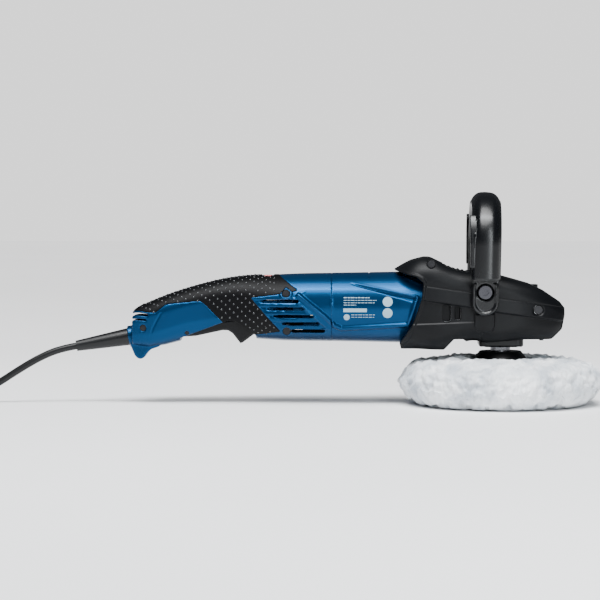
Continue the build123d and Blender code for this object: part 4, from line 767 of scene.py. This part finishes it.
# height, start, length and half height of each row of dashes
ROWS = ((107.5, -156, 25.0, 0.45), (104.9, -156, 32.0, 0.3), (102.5, -156, 30.0, 0.3), (100.2, -156, 12.0, 0.3),
        (90.6, -148.5, 24.0, 0.28), (88.2, -148.5, 22.0, 0.28))
for z, start, length, half in ROWS:
    at, n = start, 0
    while at < start + length:
        dash = DASHES[n % len(DASHES)]
        printed(bar_mark(at, min(at + dash, start + length + 0.5), z - half, z + half), mark_verts, mark_faces)
        at += dash + DASH_GAP
        n += 1
for x, z, radius in ((-112.6, 103.6, 4.9), (-112.7, 92.4, 4.9), (-153, 88.2, 3.0)):
    printed(disc_mark(x, z, radius), mark_verts, mark_faces)
new_piece("blank_print", mark_verts, mark_faces, PRINT, "tool", smooth=False)

# ------------------------------------------------------------ cord and coil, running to the plug
SLEEVE_DROP = math.radians(10.2)
along = Vector((-math.cos(SLEEVE_DROP), 0, -math.sin(SLEEVE_DROP)))
SLEEVE_ROOT, SLEEVE_LENGTH = Vector((-0.371, 0, 0.0667)), 0.054
cord_exit = SLEEVE_ROOT + along * SLEEVE_LENGTH
route = [cord_exit, cord_exit + along * 0.018] + [Vector(p) * MM for p in (
    (-463, -0.6, 44.6), (-482.5, -0.4, 33.0), (-503, 0.6, 19.6), (-521.5, 2.2, 9.4), (-542, 4.0, 3.7))]
COIL = Vector((-0.595, 0.0435, 0))
TURN_POINTS = 16
LAST_TURN_POINTS = 11         # the last turn stops short, where the cord leaves for the plug
LEVELS = (3.7, 10.7, 17.7, 24.5)
RADII = (49.2, 42.1, 35.0, 27.9)
START_ANGLE = math.radians(-80)
turns = [(r, z) for n, z in enumerate(LEVELS) for r in (RADII if n % 2 == 0 else RADII[::-1])]
coil_points = []
for turn, (r0, z0) in enumerate(turns):
    r1, z1 = turns[min(turn + 1, len(turns) - 1)]
    for k in range(TURN_POINTS if turn < len(turns) - 1 else LAST_TURN_POINTS):
        t = k / TURN_POINTS
        blend = share_between(t, 0.7, 0.3)
        r, z = (r0 + (r1 - r0) * blend) * MM, (z0 + (z1 - z0) * blend) * MM
        a = START_ANGLE - 2 * math.pi * t
        coil_points.append(COIL + Vector((r * math.cos(a), r * math.sin(a), z)))
coil_points += [Vector(p) * MM for p in ((-553.1, 74.7, 25.2), (-543.8, 64.5, 27.0), (-539.6, 51.3, 29.6),
                                         (-541.4, 37.6, 32.4), (-548.9, 25.9, 34.8), (-559.5, 18.8, 36.3),
                                         (-571.5, 16.5, 36.6))]
route_all = route + coil_points
curve = bpy.data.curves.new("power_cord_line", "CURVE")
curve.dimensions = "3D"
spline = curve.splines.new("NURBS")
spline.points.add(len(route_all) - 1)
for point, place in zip(spline.points, route_all):
    point.co = (*place, 1)
spline.order_u = 3
spline.use_endpoint_u = True
curve.bevel_depth = 0.0035                # half the cord's diameter
curve.bevel_resolution = 6
curve.resolution_u = 6
curve.use_fill_caps = True
curve.materials.append(LOOKS["cord_rubber"])
cord_piece = bpy.data.objects.new("power_cord_line", curve)
bpy.context.scene.collection.objects.link(cord_piece)
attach(cord_piece, "tool")
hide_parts("power_cord", "cord_coil")
